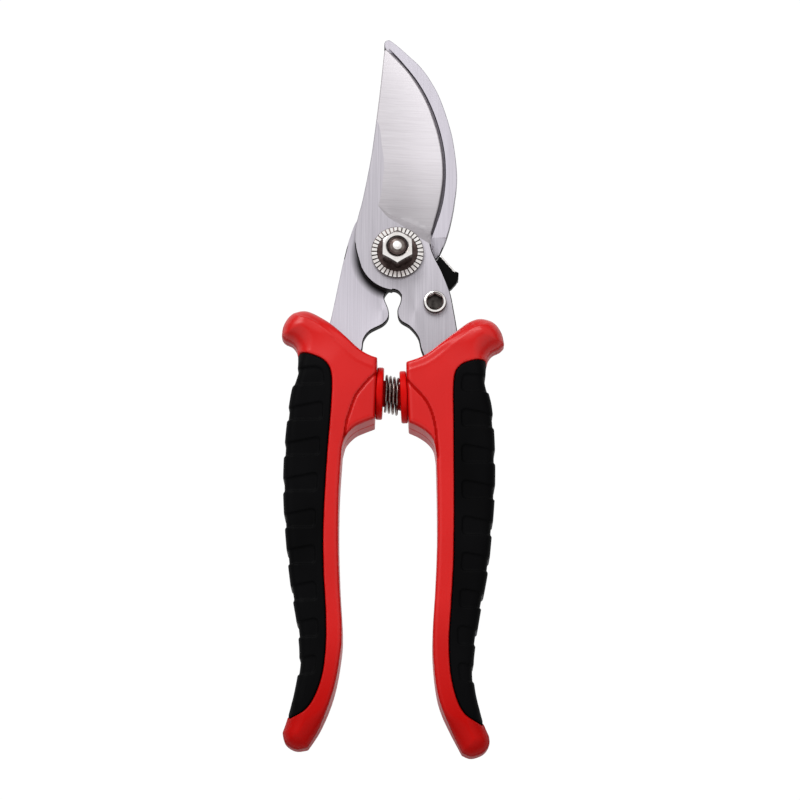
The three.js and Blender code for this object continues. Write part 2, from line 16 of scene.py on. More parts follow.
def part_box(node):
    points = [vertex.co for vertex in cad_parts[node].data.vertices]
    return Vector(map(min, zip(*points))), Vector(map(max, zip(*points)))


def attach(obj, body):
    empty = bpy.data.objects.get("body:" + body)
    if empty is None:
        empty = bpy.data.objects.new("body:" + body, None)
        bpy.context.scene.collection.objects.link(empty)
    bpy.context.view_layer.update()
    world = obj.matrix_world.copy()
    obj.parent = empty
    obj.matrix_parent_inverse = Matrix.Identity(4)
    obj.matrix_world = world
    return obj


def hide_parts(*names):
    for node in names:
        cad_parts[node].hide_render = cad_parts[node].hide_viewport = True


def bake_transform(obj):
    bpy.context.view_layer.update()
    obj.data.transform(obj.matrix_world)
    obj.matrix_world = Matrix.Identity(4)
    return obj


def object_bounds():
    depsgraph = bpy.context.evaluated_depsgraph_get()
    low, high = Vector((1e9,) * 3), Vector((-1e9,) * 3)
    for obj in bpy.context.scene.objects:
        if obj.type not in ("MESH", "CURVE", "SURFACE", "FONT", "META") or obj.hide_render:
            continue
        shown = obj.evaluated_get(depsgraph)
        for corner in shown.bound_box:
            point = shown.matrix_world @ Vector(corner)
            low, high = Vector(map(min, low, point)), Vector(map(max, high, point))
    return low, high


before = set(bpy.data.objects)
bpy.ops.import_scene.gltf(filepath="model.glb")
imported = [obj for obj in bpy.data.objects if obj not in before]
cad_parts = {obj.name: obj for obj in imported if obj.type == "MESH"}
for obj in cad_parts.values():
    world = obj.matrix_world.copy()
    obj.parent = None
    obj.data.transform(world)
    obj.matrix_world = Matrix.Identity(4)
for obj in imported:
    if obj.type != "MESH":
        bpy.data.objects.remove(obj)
cad_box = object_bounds()

MM = 0.001


def span(node):
    """A CAD node's lowest and highest corners, in millimetres."""
    low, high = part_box(node)
    return np.array(low) / MM, np.array(high) / MM


# ---- places taken from the frame

HOOK_Z = [corner[2] for corner in span("hook_plate")]
BLADE_Z = [corner[2] for corner in span("blade_plate")]
HANDLE_Z = [corner[2] for corner in span("left_handle_body")]
MIDDLE_Z = sum(HANDLE_Z) / 2
HALF_THICKNESS = (HANDLE_Z[1] - HANDLE_Z[0]) / 2
CATCH_AXIS = sum(span("catch_screw"))[:2] / 2

# ---- outlines

HEEL_RADIUS = 11.2
BLADE_HEEL_RADIUS = 10.7
CROTCH_RADIUS = 2.25
SEAT_TILT = math.radians(2.4)
LEFT_SEAT = (-5.75, -38.8)
RIGHT_SEAT = (2.7, -39.8)


def arc(x, y, radius, start, end, pieces):
    """Points along an arc, from one angle to another in degrees."""
    angles = np.radians(np.linspace(start, end, pieces + 1))
    return [(x + radius * math.cos(a), y + radius * math.sin(a)) for a in angles]


def smooth_curve(points, step):
    """Equally spaced points along the smooth curve through the given points, both ends included."""
    points = np.array(points, float)
    if len(points) == 2:
        count = max(1, round(np.linalg.norm(points[1] - points[0]) / step))
        return points[0] + (points[1] - points[0]) * np.linspace(0, 1, count + 1)[:, None]
    padded = np.vstack([points[:1], points, points[-1:]])
    t = np.linspace(0, 1, 24, endpoint=False)[:, None]
    fine = []
    for a, b, c, d in zip(padded, padded[1:], padded[2:], padded[3:]):
        into, out = (c - a) / 2, (d - b) / 2
        cubic = 2 * b - 2 * c + into + out
        square = 3 * c - 3 * b - 2 * into - out
        fine.append(cubic * t**3 + square * t**2 + into * t + b)
    fine = np.vstack(fine + [points[-1:]])
    along = np.concatenate([[0], np.cumsum(np.linalg.norm(np.diff(fine, axis=0), axis=1))])
    at = np.linspace(0, along[-1], max(2, round(along[-1] / step)) + 1)
    return np.stack([np.interp(at, along, fine[:, i]) for i in range(2)], 1)


def outline(stretches, step):
    """A closed outline from stretches that each start where the one before ends."""
    return np.vstack([smooth_curve(stretch, step)[:-1] for stretch in stretches])


def left_end(y):
    return LEFT_SEAT[0] + (y - LEFT_SEAT[1]) * math.tan(SEAT_TILT)


def right_end(y):
    return RIGHT_SEAT[0] - (y - RIGHT_SEAT[1]) * math.tan(SEAT_TILT)


HOOK = [
    [(11.7, 1), (13.5, 5.3), (14.9, 10.5), (15.9, 16.3), (16.5, 22.5), (15.9, 30.3), (14.6, 37.3),
     (11.9, 45.9), (9.1, 51.5), (6.3, 55.5), (3.5, 58.3), (0.7, 61), (-1.8, 63.1)],
    [(-1.8, 63.1), (-2.7, 63.4), (-3.6, 62.7), (-3.7, 61.3)],
    [(-3.7, 61.3), (0, 54), (4.2, 44.5), (7.2, 34), (7.8, 24), (5.6, 17), (1, 13.2), (-5, 12.6),
     (-10.6, 10.8), (-13, 5.6), (-14.7, -1), (-15.9, -6.7), (-17.3, -13.8), (-18.4, -18.9), (-20.4, -25.5),
     (-23.6, -40), (-24.9, -55), (-24.8, -76), (-23.4, -92)],
    [(-23.4, -92), (-21, -94.2), (-18.8, -92)],
    [(-18.8, -92), (-19, -76), (-18.7, -60), (-17.4, -45), (-13.6, -34.5), (-9.9, -27.1), (-9.2, -23.6),
     (-7.5, -21.2), (-3.9, -19.2), (-2.4, -17.2), (-2.5, -15), (-3.6, -12), (-3.3, -10.7), (-2.3, -9.5),
     (-1, -9.1), (0.3, -9.5), arc(0, 0, HEEL_RADIUS, -83, 0, 1)[0]],
    arc(0, 0, HEEL_RADIUS, -83, -23.5, 6),
    [arc(0, 0, HEEL_RADIUS, -23.5, 0, 1)[0], (9.1, -3.5)],
    [(9.1, -3.5), (9.1, -2.3)],
    [(9.1, -2.3), (11.7, 1)],
]
CUTTING_EDGE = [(9.2, 6.3), (10.2, 10.1), (11.5, 15.2), (12.5, 22), (12.4, 28.3), (11.3, 35), (9.4, 41.4),
                (7.9, 45.2), (6, 48.9), (3.5, 52.9), (0.9, 56.1), (-3, 60.3)]
BLADE = [
    [(9.2, 3), (9.2, 6.3)],
    CUTTING_EDGE,
    [(-3, 60.3), (-3.7, 59.7)],
    [(-3.7, 59.7), (-4.3, 53.2), (-5.1, 45), (-6.2, 35.6), (-7.4, 26.8), (-9.4, 16.1), (-10.8, 10.4),
     (-11.6, 6.6), (-11.7, 3.7), (-11.2, 0.4), (-9.9, -4.2)],
    [(-9.9, -4.2), *arc(0, 0, BLADE_HEEL_RADIUS, -145, -98, 5)],
    [arc(0, 0, BLADE_HEEL_RADIUS, -98, 0, 1)[0], *arc(-1.2, -12.6, CROTCH_RADIUS, 100, 10, 8), (0.8, -14),
     (0, -16.4), (0.7, -19), (3.4, -20.9), (5.6, -23.8), (6.5, -27.4), (8.6, -32), (11.6, -36), (14.6, -45),
     (15.7, -60), (15.8, -76), (15.2, -91)],
    [(15.2, -91), (17.4, -93.2), (19.6, -91)],
    [(19.6, -91), (21, -76), (21.3, -60), (20.4, -45), (18.7, -33), (17, -27.5), (16.2, -21.8),
     (15.3, -16.2), (14.3, -11.1), (12.2, -5.4), (10, -0.8), (9, 2.3), (9.2, 3)],
]

# The ground bevel's borders on the flat of the blade: one beside the spine, one where the wheel stopped.
# The first runs on past the spine, so that the spine thins towards the tip.
GRIND_SIDE = [(-17, 60), (-13, 55), (-9.6, 49), (-7.4, 44), (-5.8, 39.1), (-4.8, 35.6), (-4.3, 31.2),
              (-3.8, 27.4), (-3.7, 23.9), (-4, 21), (-4.5, 16.7), (-5.3, 13.6)]
GRIND_STOP = [(-5.3, 13.6), (-2.6, 10.3), (0.7, 8.2), (3.4, 6.3), (6.2, 4.3), (8.9, 2.6), (11.5, 0.9)]
GROOVE_SIDE = [(-1.1, 59.5), (1.6, 56.4), (4.9, 52.1), (7.5, 47.8), (9.5, 43.5), (11.1, 39), (12.3, 34.5),
               (13.1, 30), (13.4, 25.5), (13.3, 21), (12.8, 16.7), (11.9, 12.7), (10.7, 8.9), (9.9, 6.6)]

LEFT_SHOULDER = [(left_end(-30.4), -30.4), (-7.6, -29.6), (-10.1, -28.1), (-12.8, -25.6), (-18, -20.5),
                 (-22.4, -17.4), (-25.6, -16.4), (-28.9, -17.5), (-30.9, -20.4), (-31.4, -23.4)]
LEFT_HANDLE = [
    LEFT_SHOULDER,
    [(-31.4, -23.4), (-30.5, -24.6), (-28.4, -25.7), (-27.1, -28.1), (-26.9, -33.5), (-28.6, -40),
     (-29.8, -50), (-30.4, -60), (-30.3, -70), (-29.4, -82), (-28.1, -93), (-26.4, -103), (-25.7, -112),
     (-27, -121), (-28.8, -127.4), (-30, -130.8)],
    [(-30, -130.8), (-29.2, -133.6), (-26.5, -135.2), (-23.4, -134.8)],
    [(-23.4, -134.8), (-20.2, -129.6), (-16.7, -120.4), (-14.9, -111), (-14.5, -104), (-15.2, -92),
     (-15.6, -80), (-15.5, -68), (-14.8, -55.5)],
    [(-14.8, -55.5), (-13.8, -52.2), (-11.4, -49.6), (-8.7, -48.3), (left_end(-47.3), -47.3)],
    [(left_end(-47.3), -47.3), (left_end(-30.4), -30.4)],
]
RIGHT_SHOULDER = [(29, -25.8), (28.3, -22.6), (26.3, -19.8), (22.8, -18.6), (19.4, -19.7), (15.9, -22.6),
                  (11.5, -26.5), (8.4, -29), (6.1, -30.3), (right_end(-31.6), -31.6)]
RIGHT_HANDLE = [
    [(right_end(-31.6), -31.6), (right_end(-48.4), -48.4)],
    [(right_end(-48.4), -48.4), (5.5, -49.5), (8.1, -51.3), (9.8, -53.7), (10.4, -57.4)],
    [(10.4, -57.4), (10.6, -68), (10.6, -80), (10.1, -92), (9.4, -103), (9.4, -112), (10.7, -122),
     (13.8, -130), (16.9, -136.2)],
    [(16.9, -136.2), (19.3, -137.1), (22.4, -136.1), (24, -134), (24, -131.8)],
    [(24, -131.8), (22.1, -127.2), (20.4, -120.3), (20, -114), (20.7, -107), (22.2, -98), (24, -88.5),
     (25.2, -77.5), (26, -67), (26.1, -55), (25.4, -44), (23.8, -36.5), (24.3, -30.6), (25.6, -28.2),
     (27.8, -27), (29, -25.8)],
    RIGHT_SHOULDER,
]
LEFT_HORN = (-27.6, -21.5)  # middles of the handles' round ends
LEFT_END = (-27.2, -131.5)
RIGHT_HORN = (25.2, -23.4)
RIGHT_END = (20.8, -133)
LEFT_BORDER = [(-40, -28.6), (-27.6, -28.7), (-23.5, -29.4), (-19.4, -31.6), (-17.7, -35.5), (-17.8, -44),
               (-18.8, -58), (-19.6, -75), (-19.5, -88), (-18.8, -100), (-18.8, -109), (-20, -117.5),
               (-23.2, -124.4), (-28.2, -127.4), (-40, -131)]
RIGHT_BORDER = [(36, -30.6), (24.6, -30.8), (20.4, -31.2), (16.8, -32.9), (15.2, -37), (15.1, -50),
                (15.1, -70), (14.9, -85), (14.2, -97.5), (13.6, -108), (14.3, -117.8), (17, -125.6),
                (22.2, -129.2), (36, -136)]
LEFT_ARC = [(-5.7, -35), (-7.9, -37), (-9.7, -39.2), (-11.1, -41.1), (-12.1, -43.6), (-12.9, -46.1),
            (-13.6, -48.5), (-14.1, -52.9)]
RIGHT_ARC = [(2.5, -36.7), (4.3, -38.7), (6.5, -41), (8.2, -43.4), (9.4, -46.4), (10.1, -49.4),
             (10.4, -52.1), (10.6, -55), (10.6, -58)]

# ---- fields


def distance(line, x, y):
    """Distance from each point of a grid to an open line of points."""
    best = np.full(x.shape, np.inf)
    for (ax, ay), (bx, by) in zip(line[:-1], line[1:]):
        ux, uy = bx - ax, by - ay
        t = np.clip(((x - ax) * ux + (y - ay) * uy) / max(ux * ux + uy * uy, 1e-12), 0, 1)
        np.minimum(best, (x - ax - t * ux) ** 2 + (y - ay - t * uy) ** 2, out=best)
    return np.sqrt(best)


def within(polygon, x, y):
    """Whether each point of a grid is inside a closed outline."""
    inside = np.zeros(x.shape, bool)
    for (ax, ay), (bx, by) in zip(polygon, np.roll(polygon, -1, axis=0)):
        if ay != by:
            inside ^= ((ay > y) != (by > y)) & (x < ax + (bx - ax) * (y - ay) / (by - ay))
    return inside


def signed(polygon, x, y):
    """Distance to a closed outline, negative inside."""
    away = distance(np.vstack([polygon, polygon[:1]]), x, y)
    return np.where(within(polygon, x, y), -away, away)


def ease(low, high, value):
    """0 below low, 1 above high, and a smooth ramp between. It falls when low is above high."""
    t = np.clip((value - low) / (high - low), 0, 1)
    return t * t * (3 - 2 * t)


def both(a, b, radius):
    """The overlap of two fields, with the edge between them rounded."""
    over = np.hypot(np.maximum(a + radius, 0), np.maximum(b + radius, 0))
    return np.minimum(np.maximum(a, b), -radius) + over


def skin(field, axes):
    """Points and quads of the surface where a field on a grid of x, y and z values is zero."""
    size = np.array(field.shape) - 1
    cells, points, quads = [], [], []
    for a in range(3):
        b, c = (a + 1) % 3, (a + 2) % 3
        low = np.moveaxis(np.moveaxis(field, a, 0)[:-1], 0, a)
        high = np.moveaxis(np.moveaxis(field, a, 0)[1:], 0, a)
        where = np.argwhere((low < 0) != (high < 0))
        start, end = low[tuple(where.T)], high[tuple(where.T)]
        point = np.stack([axes[i][where[:, i]] for i in range(3)], 1)
        point[:, a] += start / (start - end) * (axes[a][where[:, a] + 1] - axes[a][where[:, a]])
        corners = []
        for db, dc in ((-1, -1), (0, -1), (0, 0), (-1, 0)):
            cell = where.copy()
            cell[:, b] += db
            cell[:, c] += dc
            corners.append(np.ravel_multi_index(cell.T, size))
        corners = np.stack(corners, 1)
        quads.append(np.where((start < 0)[:, None], corners, corners[:, ::-1]))
        cells.append(corners.ravel())
        points.append(np.repeat(point, 4, axis=0))
    used, index = np.unique(np.concatenate(cells), return_inverse=True)
    points = np.vstack(points)
    count = np.bincount(index)
    mean = np.stack([np.bincount(index, points[:, i]) / count for i in range(3)], 1)
    return mean, np.searchsorted(used, np.vstack(quads))


# ---- materials


class Nodes:
    """A material's node tree, with each node added in one call."""

    def __init__(self, name):
        self.material = bpy.data.materials.new(name)
        self.material.use_nodes = True
        self.tree = self.material.node_tree
        self.shader = self.tree.nodes["Principled BSDF"]
        self.place = self.tree.nodes.new("ShaderNodeTexCoord").outputs["Object"]

    def add(self, kind, links=(), **settings):
        made = self.tree.nodes.new("ShaderNode" + kind)
        for key, value in settings.items():
            if key in made.inputs:
                made.inputs[key].default_value = value
            else:
                setattr(made, key, value)
        for socket, source in dict(links).items():
            self.tree.links.new(source, made.inputs[socket])
        return made

    def scaled(self, scale, turn=0):
        """Object coordinates in millimetres times a scale, turned about Z by degrees."""
        mapping = self.add("Mapping", {"Vector": self.place})
        mapping.inputs["Scale"].default_value = [s / MM for s in scale]
        mapping.inputs["Rotation"].default_value[2] = math.radians(turn)
        return mapping.outputs["Vector"]

    def noise(self, scale, detail=3.0, turn=0, rough=0.5):
        place_in = {"Vector": self.scaled(scale, turn)}
        return self.add("TexNoise", place_in, Scale=1.0, Detail=detail, Roughness=rough).outputs["Fac"]

    def ramp(self, source, low, high, dark, light):
        """A colour or value that runs from dark to light as a source runs from low to high."""
        made = self.add("ValToRGB", {"Fac": source})
        stops = made.color_ramp.elements
        for stop, at, shade in zip(stops, (low, high), (dark, light)):
            stop.position = at
            stop.color = (shade, shade, shade, 1) if isinstance(shade, (int, float)) else (*shade, 1)
        return made.outputs["Color"]

    def axis(self, name):
        return self.add("SeparateXYZ", {"Vector": self.place}).outputs[name]

    def span_of(self, source, low, high, start=0.0):
        """A value that rises from start to 1 as a length goes from low to high, in millimetres."""
        made = self.add("MapRange", {"Value": source})
        for socket, value in (("From Min", low * MM), ("From Max", high * MM), ("To Min", start)):
            made.inputs[socket].default_value = value
        return made.outputs["Result"]

    def bump(self, layers):
        """Stacked bumps, each a source with its height in millimetres and its strength."""
        normal = None
        for source, height, strength in layers:
            links = {"Height": source}
            if normal:
                links["Normal"] = normal
            normal = self.add("Bump", links, Distance=height * MM, Strength=strength).outputs["Normal"]
        self.link("Normal", normal)

    def link(self, socket, source):
        self.tree.links.new(source, self.shader.inputs[socket])

    def set(self, **values):
        for key, value in values.items():
            self.shader.inputs[key.replace("_", " ")].default_value = value


def brushed(name, dark, light, roughness, along, turn=0, painted_fade=(), heel=False, metal=1.0):
    """Ground steel: fine scratches along one direction, with faint clouding.

    The fading gives two heights in y, in millimetres, between which a painted shade lifts from a share to
    full brightness. The heel shadow is painted shadow on the lower left beside the cutting blade's round
    heel."""
    m = Nodes(name)
    across = (0.06, 7, 1) if along == "x" else (7, 0.06, 1)
    grain = m.noise(across, 4, turn, 0.6)
    broad = m.noise([s * 0.25 for s in across], 3, turn)
    cloud = m.noise((0.12, 0.12, 0.12), 2)
    mixed = m.add("Mix", {"Factor": m.ramp(cloud, 0.3, 0.7, 0.15, 0.6)})
    m.tree.links.new(grain, mixed.inputs["A"])
    m.tree.links.new(broad, mixed.inputs["B"])
    tone = mixed.outputs["Result"]
    colour = m.ramp(tone, 0.3, 0.7, dark, light)
    # Painted shade: the colour is scaled down with height, standing in for a dimmer reflection.
    if painted_fade:
        level = m.span_of(m.axis("Y"), *painted_fade)
        colour = m.add("VectorMath", {0: colour, 1: level}, operation="MULTIPLY").outputs["Vector"]
    # Painted shadow: the hook plate darkens beside the blade's round heel, towards the lower left.
    if heel:
        plan = m.add("VectorMath", {0: m.place}, operation="MULTIPLY")
        plan.inputs[1].default_value = (1, 1, 0)
        away = m.add("VectorMath", {0: plan.outputs["Vector"]}, operation="LENGTH").outputs["Value"]
        level = m.span_of(away, *HEEL_SHADOW, 0.06)
        for side in (m.span_of(m.axis("X"), -4, 1), m.span_of(m.axis("Y"), -3, 7)):
            level = m.add("Math", {0: level, 1: side}, operation="MAXIMUM").outputs["Value"]
        colour = m.add("VectorMath", {0: colour, 1: level}, operation="MULTIPLY").outputs["Vector"]
    m.link("Base Color", colour)
    m.link("Roughness", m.ramp(tone, 0.25, 0.75, roughness + 0.07, roughness - 0.05))
    m.bump([(grain, 0.012, 0.35), (cloud, 0.05, 0.1)])
    m.set(Metallic=metal, Anisotropic=0.35)
    return m.material


def grained(name, scale, detail, colours, roughness, bump, **settings):
    """A finish with one grain, between two colours and two roughnesses. bump is height and strength."""
    m = Nodes(name)
    grain = m.noise(scale, detail)
    m.link("Base Color", m.ramp(grain, 0.3, 0.7, *colours))
    m.link("Roughness", m.ramp(grain, 0.3, 0.7, *roughness))
    m.bump([(grain, *bump)])
    m.set(**settings)
    return m.material


def nickel(name="bright_nickel", roughness=0.14, dark=(0.84, 0.80, 0.77), light=(0.95, 0.93, 0.92)):
    """Bright plating over turned and pressed steel."""
    m = Nodes(name)
    fine = m.noise((2.2, 2.2, 2.2), 4)
    broad = m.noise((0.5, 0.5, 0.5), 2)
    m.link("Base Color", m.ramp(broad, 0.3, 0.7, dark, light))
    m.link("Roughness", m.ramp(fine, 0.3, 0.75, roughness - 0.04, roughness + 0.08))
    m.bump([(fine, 0.01, 0.25), (broad, 0.03, 0.15)])
    m.set(Metallic=1.0)
    return m.material


def red_moulding(name="red_moulding", dark=(0.56, 0.003, 0.002), light=(0.63, 0.007, 0.006), gloss=0.34):
    """Moulded plastic with a faint orange peel, duller towards the handles' ends and darkened there by
    painted shade.
    """
    m = Nodes(name)
    level = m.span_of(m.axis("Y"), *RED_END_SHADE)
    peel = m.noise((1.1, 1.1, 1.1), 2)
    fine = m.noise((6, 6, 6), 3)
    broad = m.noise((0.05, 0.04, 0.05), 2)
    colour = m.add("VectorMath", {0: m.ramp(broad, 0.3, 0.7, dark, light), 1: level}, operation="MULTIPLY")
    m.link("Base Color", colour.outputs["Vector"])
    m.link("Roughness", m.ramp(fine, 0.3, 0.7, 0.27, 0.36))
    shine = m.add("Math", {0: m.span_of(m.axis("Y"), *RED_END_SHADE[:2], 0.15)}, operation="MULTIPLY")
    shine.inputs[1].default_value = gloss
    m.link("Specular IOR Level", shine.outputs["Value"])
    m.bump([(peel, 0.02, 0.12), (fine, 0.004, 0.2)])
    return m.material


def soft_grip():
    """Matt rubber with a fine spark-eroded texture."""
    m = Nodes("soft_grip")
    grit = m.noise((5, 5, 5), 4, 0, 0.7)
    broad = m.noise((0.09, 0.05, 0.09), 3)
    m.link("Base Color", m.ramp(broad, 0.3, 0.7, (0.0014, 0.0014, 0.0016), (0.0026, 0.0026, 0.0030)))
    m.link("Roughness", m.ramp(grit, 0.3, 0.7, 0.45, 0.6))
    m.bump([(grit, 0.03, 0.4), (broad, 0.1, 0.1)])
    m.set(Specular_IOR_Level=0.03)
    return m.material


RED_END_SHADE = (-128, -96, 0.76)  # heights over which painted shade darkens the red towards the ends, and how much
HEEL_SHADOW = (10.8, 13)  # distances from the pivot's axis over which the painted heel shadow fades out
STEEL_RAMP = brushed("steel_ramp", (0.36, 0.34, 0.36), (0.47, 0.445, 0.47), 0.5, "x", 4, metal=0.3)
# Painted shade darkens the hook plate towards its tip, and a painted shadow lies beside the blade's heel.
STEEL_HOOK = brushed("steel_hook", (0.535, 0.507, 0.564), (0.707, 0.678, 0.747), 0.36, "y",
                     painted_fade=(50, -15, 0.78), heel=True)
STEEL_BLADE = brushed("steel_blade", (0.43, 0.41, 0.45), (0.62, 0.595, 0.645), 0.38, "y")
# Painted shade darkens the bevel towards its foot, standing in for its dimmer reflection there.
STEEL_BEVEL = brushed("steel_bevel", (0.66, 0.625, 0.66), (0.82, 0.785, 0.82), 0.34, "x", 4, (6, 28, 0.62))
# Near black: painted shade on the cut walls and on the chamfers below the cutting part.
STEEL_CUT_SHADE = grained("cut_steel_shade", (3, 3, 0.3), 4, ((0.002, 0.0015, 0.0015), (0.009, 0.007, 0.0065)),
                    (0.55, 0.4), (0.03, 0.5), Specular_IOR_Level=0.03)
# Dark steel: painted shade in the sap groove.
STEEL_GROOVE_SHADE = grained("groove_steel_shade", (2, 2, 2), 4, ((0.15, 0.137, 0.158), (0.2, 0.184, 0.208)),
                       (0.6, 0.5), (0.02, 0.4), Metallic=1.0)
NICKEL = nickel()
NICKEL_DULL = nickel("dull_nickel", 0.42)
# Dark brown nickel: painted shade and painted reflection on the hardware's sides, inner rings and tooth
# valleys.
NICKEL_SHADE = nickel("shaded_nickel", 0.3, (0.06, 0.04, 0.037), (0.13, 0.095, 0.09))
# Near black: painted shade on the floor of the catch screw's socket.
SOCKET_SHADE = nickel("socket_shade", 0.35, (0.006, 0.004, 0.004), (0.09, 0.08, 0.075))
# Dark grey: painted shade on the slope of the pivot bolt's end.
BOLT_END_SHADE = nickel("bolt_end_shade", 0.4, (0.07, 0.05, 0.045), (0.28, 0.24, 0.22))
RED = red_moulding()
# Darker red: painted shade in the arc grooves beside the spring.
RED_GROOVE_SHADE = red_moulding("red_groove_shade", (0.34, 0.002, 0.001), (0.4, 0.003, 0.002), 0.04)
RED_WALL = red_moulding("red_wall", gloss=0.05)
RUBBER = soft_grip()
PAINT = grained("catch_paint", (3, 3, 3), 3, ((0.0006, 0.0006, 0.0006), (0.0016, 0.0015, 0.0015)),
                (0.35, 0.5), (0.02, 0.3), Specular_IOR_Level=0.06)
WIRE = grained("spring_wire", (1.5, 6, 6), 3, ((0.05, 0.03, 0.025), (0.36, 0.31, 0.29)),
               (0.12, 0.22), (0.01, 0.3), Metallic=1.0)
NYLON = grained("nylon", (4, 4, 4), 3, ((0.010, 0.007, 0.006), (0.022, 0.016, 0.013)),
                (0.42, 0.55), (0.02, 0.3))

# ---- making pieces

CAP_CREASE = math.radians(4)  # between two facets of a plate's face
EDGE_CREASE = math.radians(32)


def place(name, points, faces, finishes, body, replaced=(), finish_of=None, creased=True):
    """Makes one piece from millimetre points, tied to its body and the node it stands for."""
    mesh = bpy.data.meshes.new(name)
    mesh.from_pydata((np.asarray(points) * MM).tolist(), [], [list(map(int, f)) for f in faces])
    for finish in finishes:
        mesh.materials.append(finish)
    mesh.polygons.foreach_set("use_smooth", [True] * len(mesh.polygons))
    if finish_of is not None:
        mesh.polygons.foreach_set("material_index", np.asarray(finish_of, np.int32))
    if creased:
        crease(mesh)
    mesh.update()
    made = bpy.data.objects.new(name, mesh)
    bpy.context.scene.collection.objects.link(made)
    if body:
        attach(made, body)
    if replaced:
        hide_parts(*replaced)
    return made


def crease(mesh):
    """Keeps the shading sharp where faces meet at an angle, and finely so on a plate's flat faces."""
    shape = bmesh.new()
    shape.from_mesh(mesh)
    for edge in shape.edges:
        if len(edge.link_faces) == 2:
            one, two = (face.normal for face in edge.link_faces)
            flat = min(abs(one.z), abs(two.z)) > 0.85
            edge.smooth = one.angle(two, 0) < (CAP_CREASE if flat else EDGE_CREASE)
    shape.to_mesh(mesh)
    shape.free()


def revolve(rings, angles, closed=False):
    """Points and faces of a turned piece from rings of (radius, height), each a number or one per angle.

    It is capped at both ends with a middle point, or closed on itself."""
    count = len(angles)
    points, faces = [], []
    for radius, height in rings:
        radius, height = np.broadcast_to(radius, count), np.broadcast_to(height, count)
        points.append(np.stack([radius * np.cos(angles), radius * np.sin(angles), height], 1))
    points = np.vstack(points)
    pairs = list(zip(range(len(rings) - 1), range(1, len(rings))))
    if closed:
        pairs.append((len(rings) - 1, 0))
    for low, high in pairs:
        for i in range(count):
            j = (i + 1) % count
            faces.append((low * count + i, low * count + j, high * count + j, high * count + i))
    if not closed:
        ends = [points[:count].mean(0), points[-count:].mean(0)]
        first, last = len(points), len(points) + 1
        points = np.vstack([points, *ends])
        top = (len(rings) - 1) * count
        for i in range(count):
            j = (i + 1) % count
            faces.append((first, j, i))
            faces.append((last, top + i, top + j))
    return points, faces


def even(count):
    return np.linspace(0, 2 * math.pi, count, endpoint=False)


def banded(bands, count, ends=()):
    """A finish for each face of a turned piece: one for each band of faces, then one for each end."""
    return np.concatenate([np.repeat(bands, count), np.tile(np.array(ends, int), count)])


# ---- plates


def inset(line, amount):
    """A closed anticlockwise outline moved inwards."""
    before, after = line - np.roll(line, 1, axis=0), np.roll(line, -1, axis=0) - line
    before /= np.linalg.norm(before, axis=1)[:, None]
    after /= np.linalg.norm(after, axis=1)[:, None]
    normal = np.stack([-(before + after)[:, 1], (before + after)[:, 0]], 1)
    reach = amount / np.maximum(1 + (before * after).sum(1), 0.4)
    return line + normal * reach[:, None]


def plate(rim, holes, top, bottom, chamfer, folds=(), spacing=1.3):
    """A plate over an outline. top and bottom give the height at x, y, and folds are lines in its faces.

    It returns points, faces and each face's kind: 0 for the top, 1 for the underside, 2 for a cut wall."""
    loops = [rim, *holes]
    rings = [inset(rim, chamfer)] + [inset(hole, chamfer) for hole in holes]
    lines = [(loop, True) for loop in loops + rings] + [(fold, False) for fold in folds]
    points, edges = [], []
    for line, is_loop in lines:
        start = len(points)
        points.extend(map(tuple, line))
        edges.extend((start + i, start + i + 1) for i in range(len(line) - 1))
        if is_loop:
            edges.append((start + len(line) - 1, start))
    low, high = rim.min(0), rim.max(0)
    gx, gy = np.meshgrid(np.arange(low[0], high[0], spacing), np.arange(low[1], high[1], spacing * 0.87))
    gx = gx + (np.arange(len(gx)) % 2)[:, None] * spacing / 2
    clear = within(rim, gx, gy)
    for line, is_loop in lines:
        whole = np.vstack([line, line[:1]]) if is_loop else line
        clear &= distance(whole, gx, gy) > spacing * 0.45
    points.extend(zip(gx[clear], gy[clear]))
    flat, _, triangles, *_ = delaunay_2d_cdt(points, edges, [], 0, 1e-5)
    flat = np.array([tuple(p) for p in flat])
    triangles = np.array(triangles)
    middle = flat[triangles].mean(1)
    keep = within(rim, middle[:, 0], middle[:, 1])
    for hole in holes:
        keep &= ~within(hole, middle[:, 0], middle[:, 1])
    triangles = triangles[keep]
    sides = np.vstack([triangles[:, [0, 1]], triangles[:, [1, 2]], triangles[:, [2, 0]]])
    _, index, count = np.unique(np.sort(sides, 1), axis=0, return_inverse=True, return_counts=True)
    border = sides[count[index.ravel()] == 1]
    used, renamed = np.unique(triangles, return_inverse=True)
    flat, triangles = flat[used], renamed.reshape(-1, 3)
    border = np.searchsorted(used, border)
    x, y = flat.T
    upper, lower = top(x, y), bottom(x, y)
    cut = np.zeros(len(x))
    cut[border.ravel()] = 1
    bite = cut * np.minimum(chamfer, 0.3 * (upper - lower))
    above = np.stack([x, y, upper - bite], 1)
    below = np.stack([x, y, lower + bite], 1)
    n = len(x)
    faces = [*triangles.tolist(), *(triangles[:, ::-1] + n).tolist()]
    faces += [(b, a, a + n, b + n) for a, b in border.tolist()]
    kinds = [0] * len(triangles) + [1] * len(triangles) + [2] * len(border)
    return np.vstack([above, below]), faces, np.array(kinds)


FINE_STEP = 0.6
HOLE_STEPS = 64
PIVOT_HOLE = 3.3
CATCH_HOLE = 2.05
BLADE_CHAMFER = 0.24
HOOK_CHAMFER = 0.22
DARK_EDGE_TOP = 3  # in y
DARK_EDGE_LEFT = -14.5  # the hook's, in x


def hole(x, y, radius):
    """A round hole's outline, clockwise."""
    return np.array(arc(x, y, radius, 360, 0, HOLE_STEPS)[:-1])


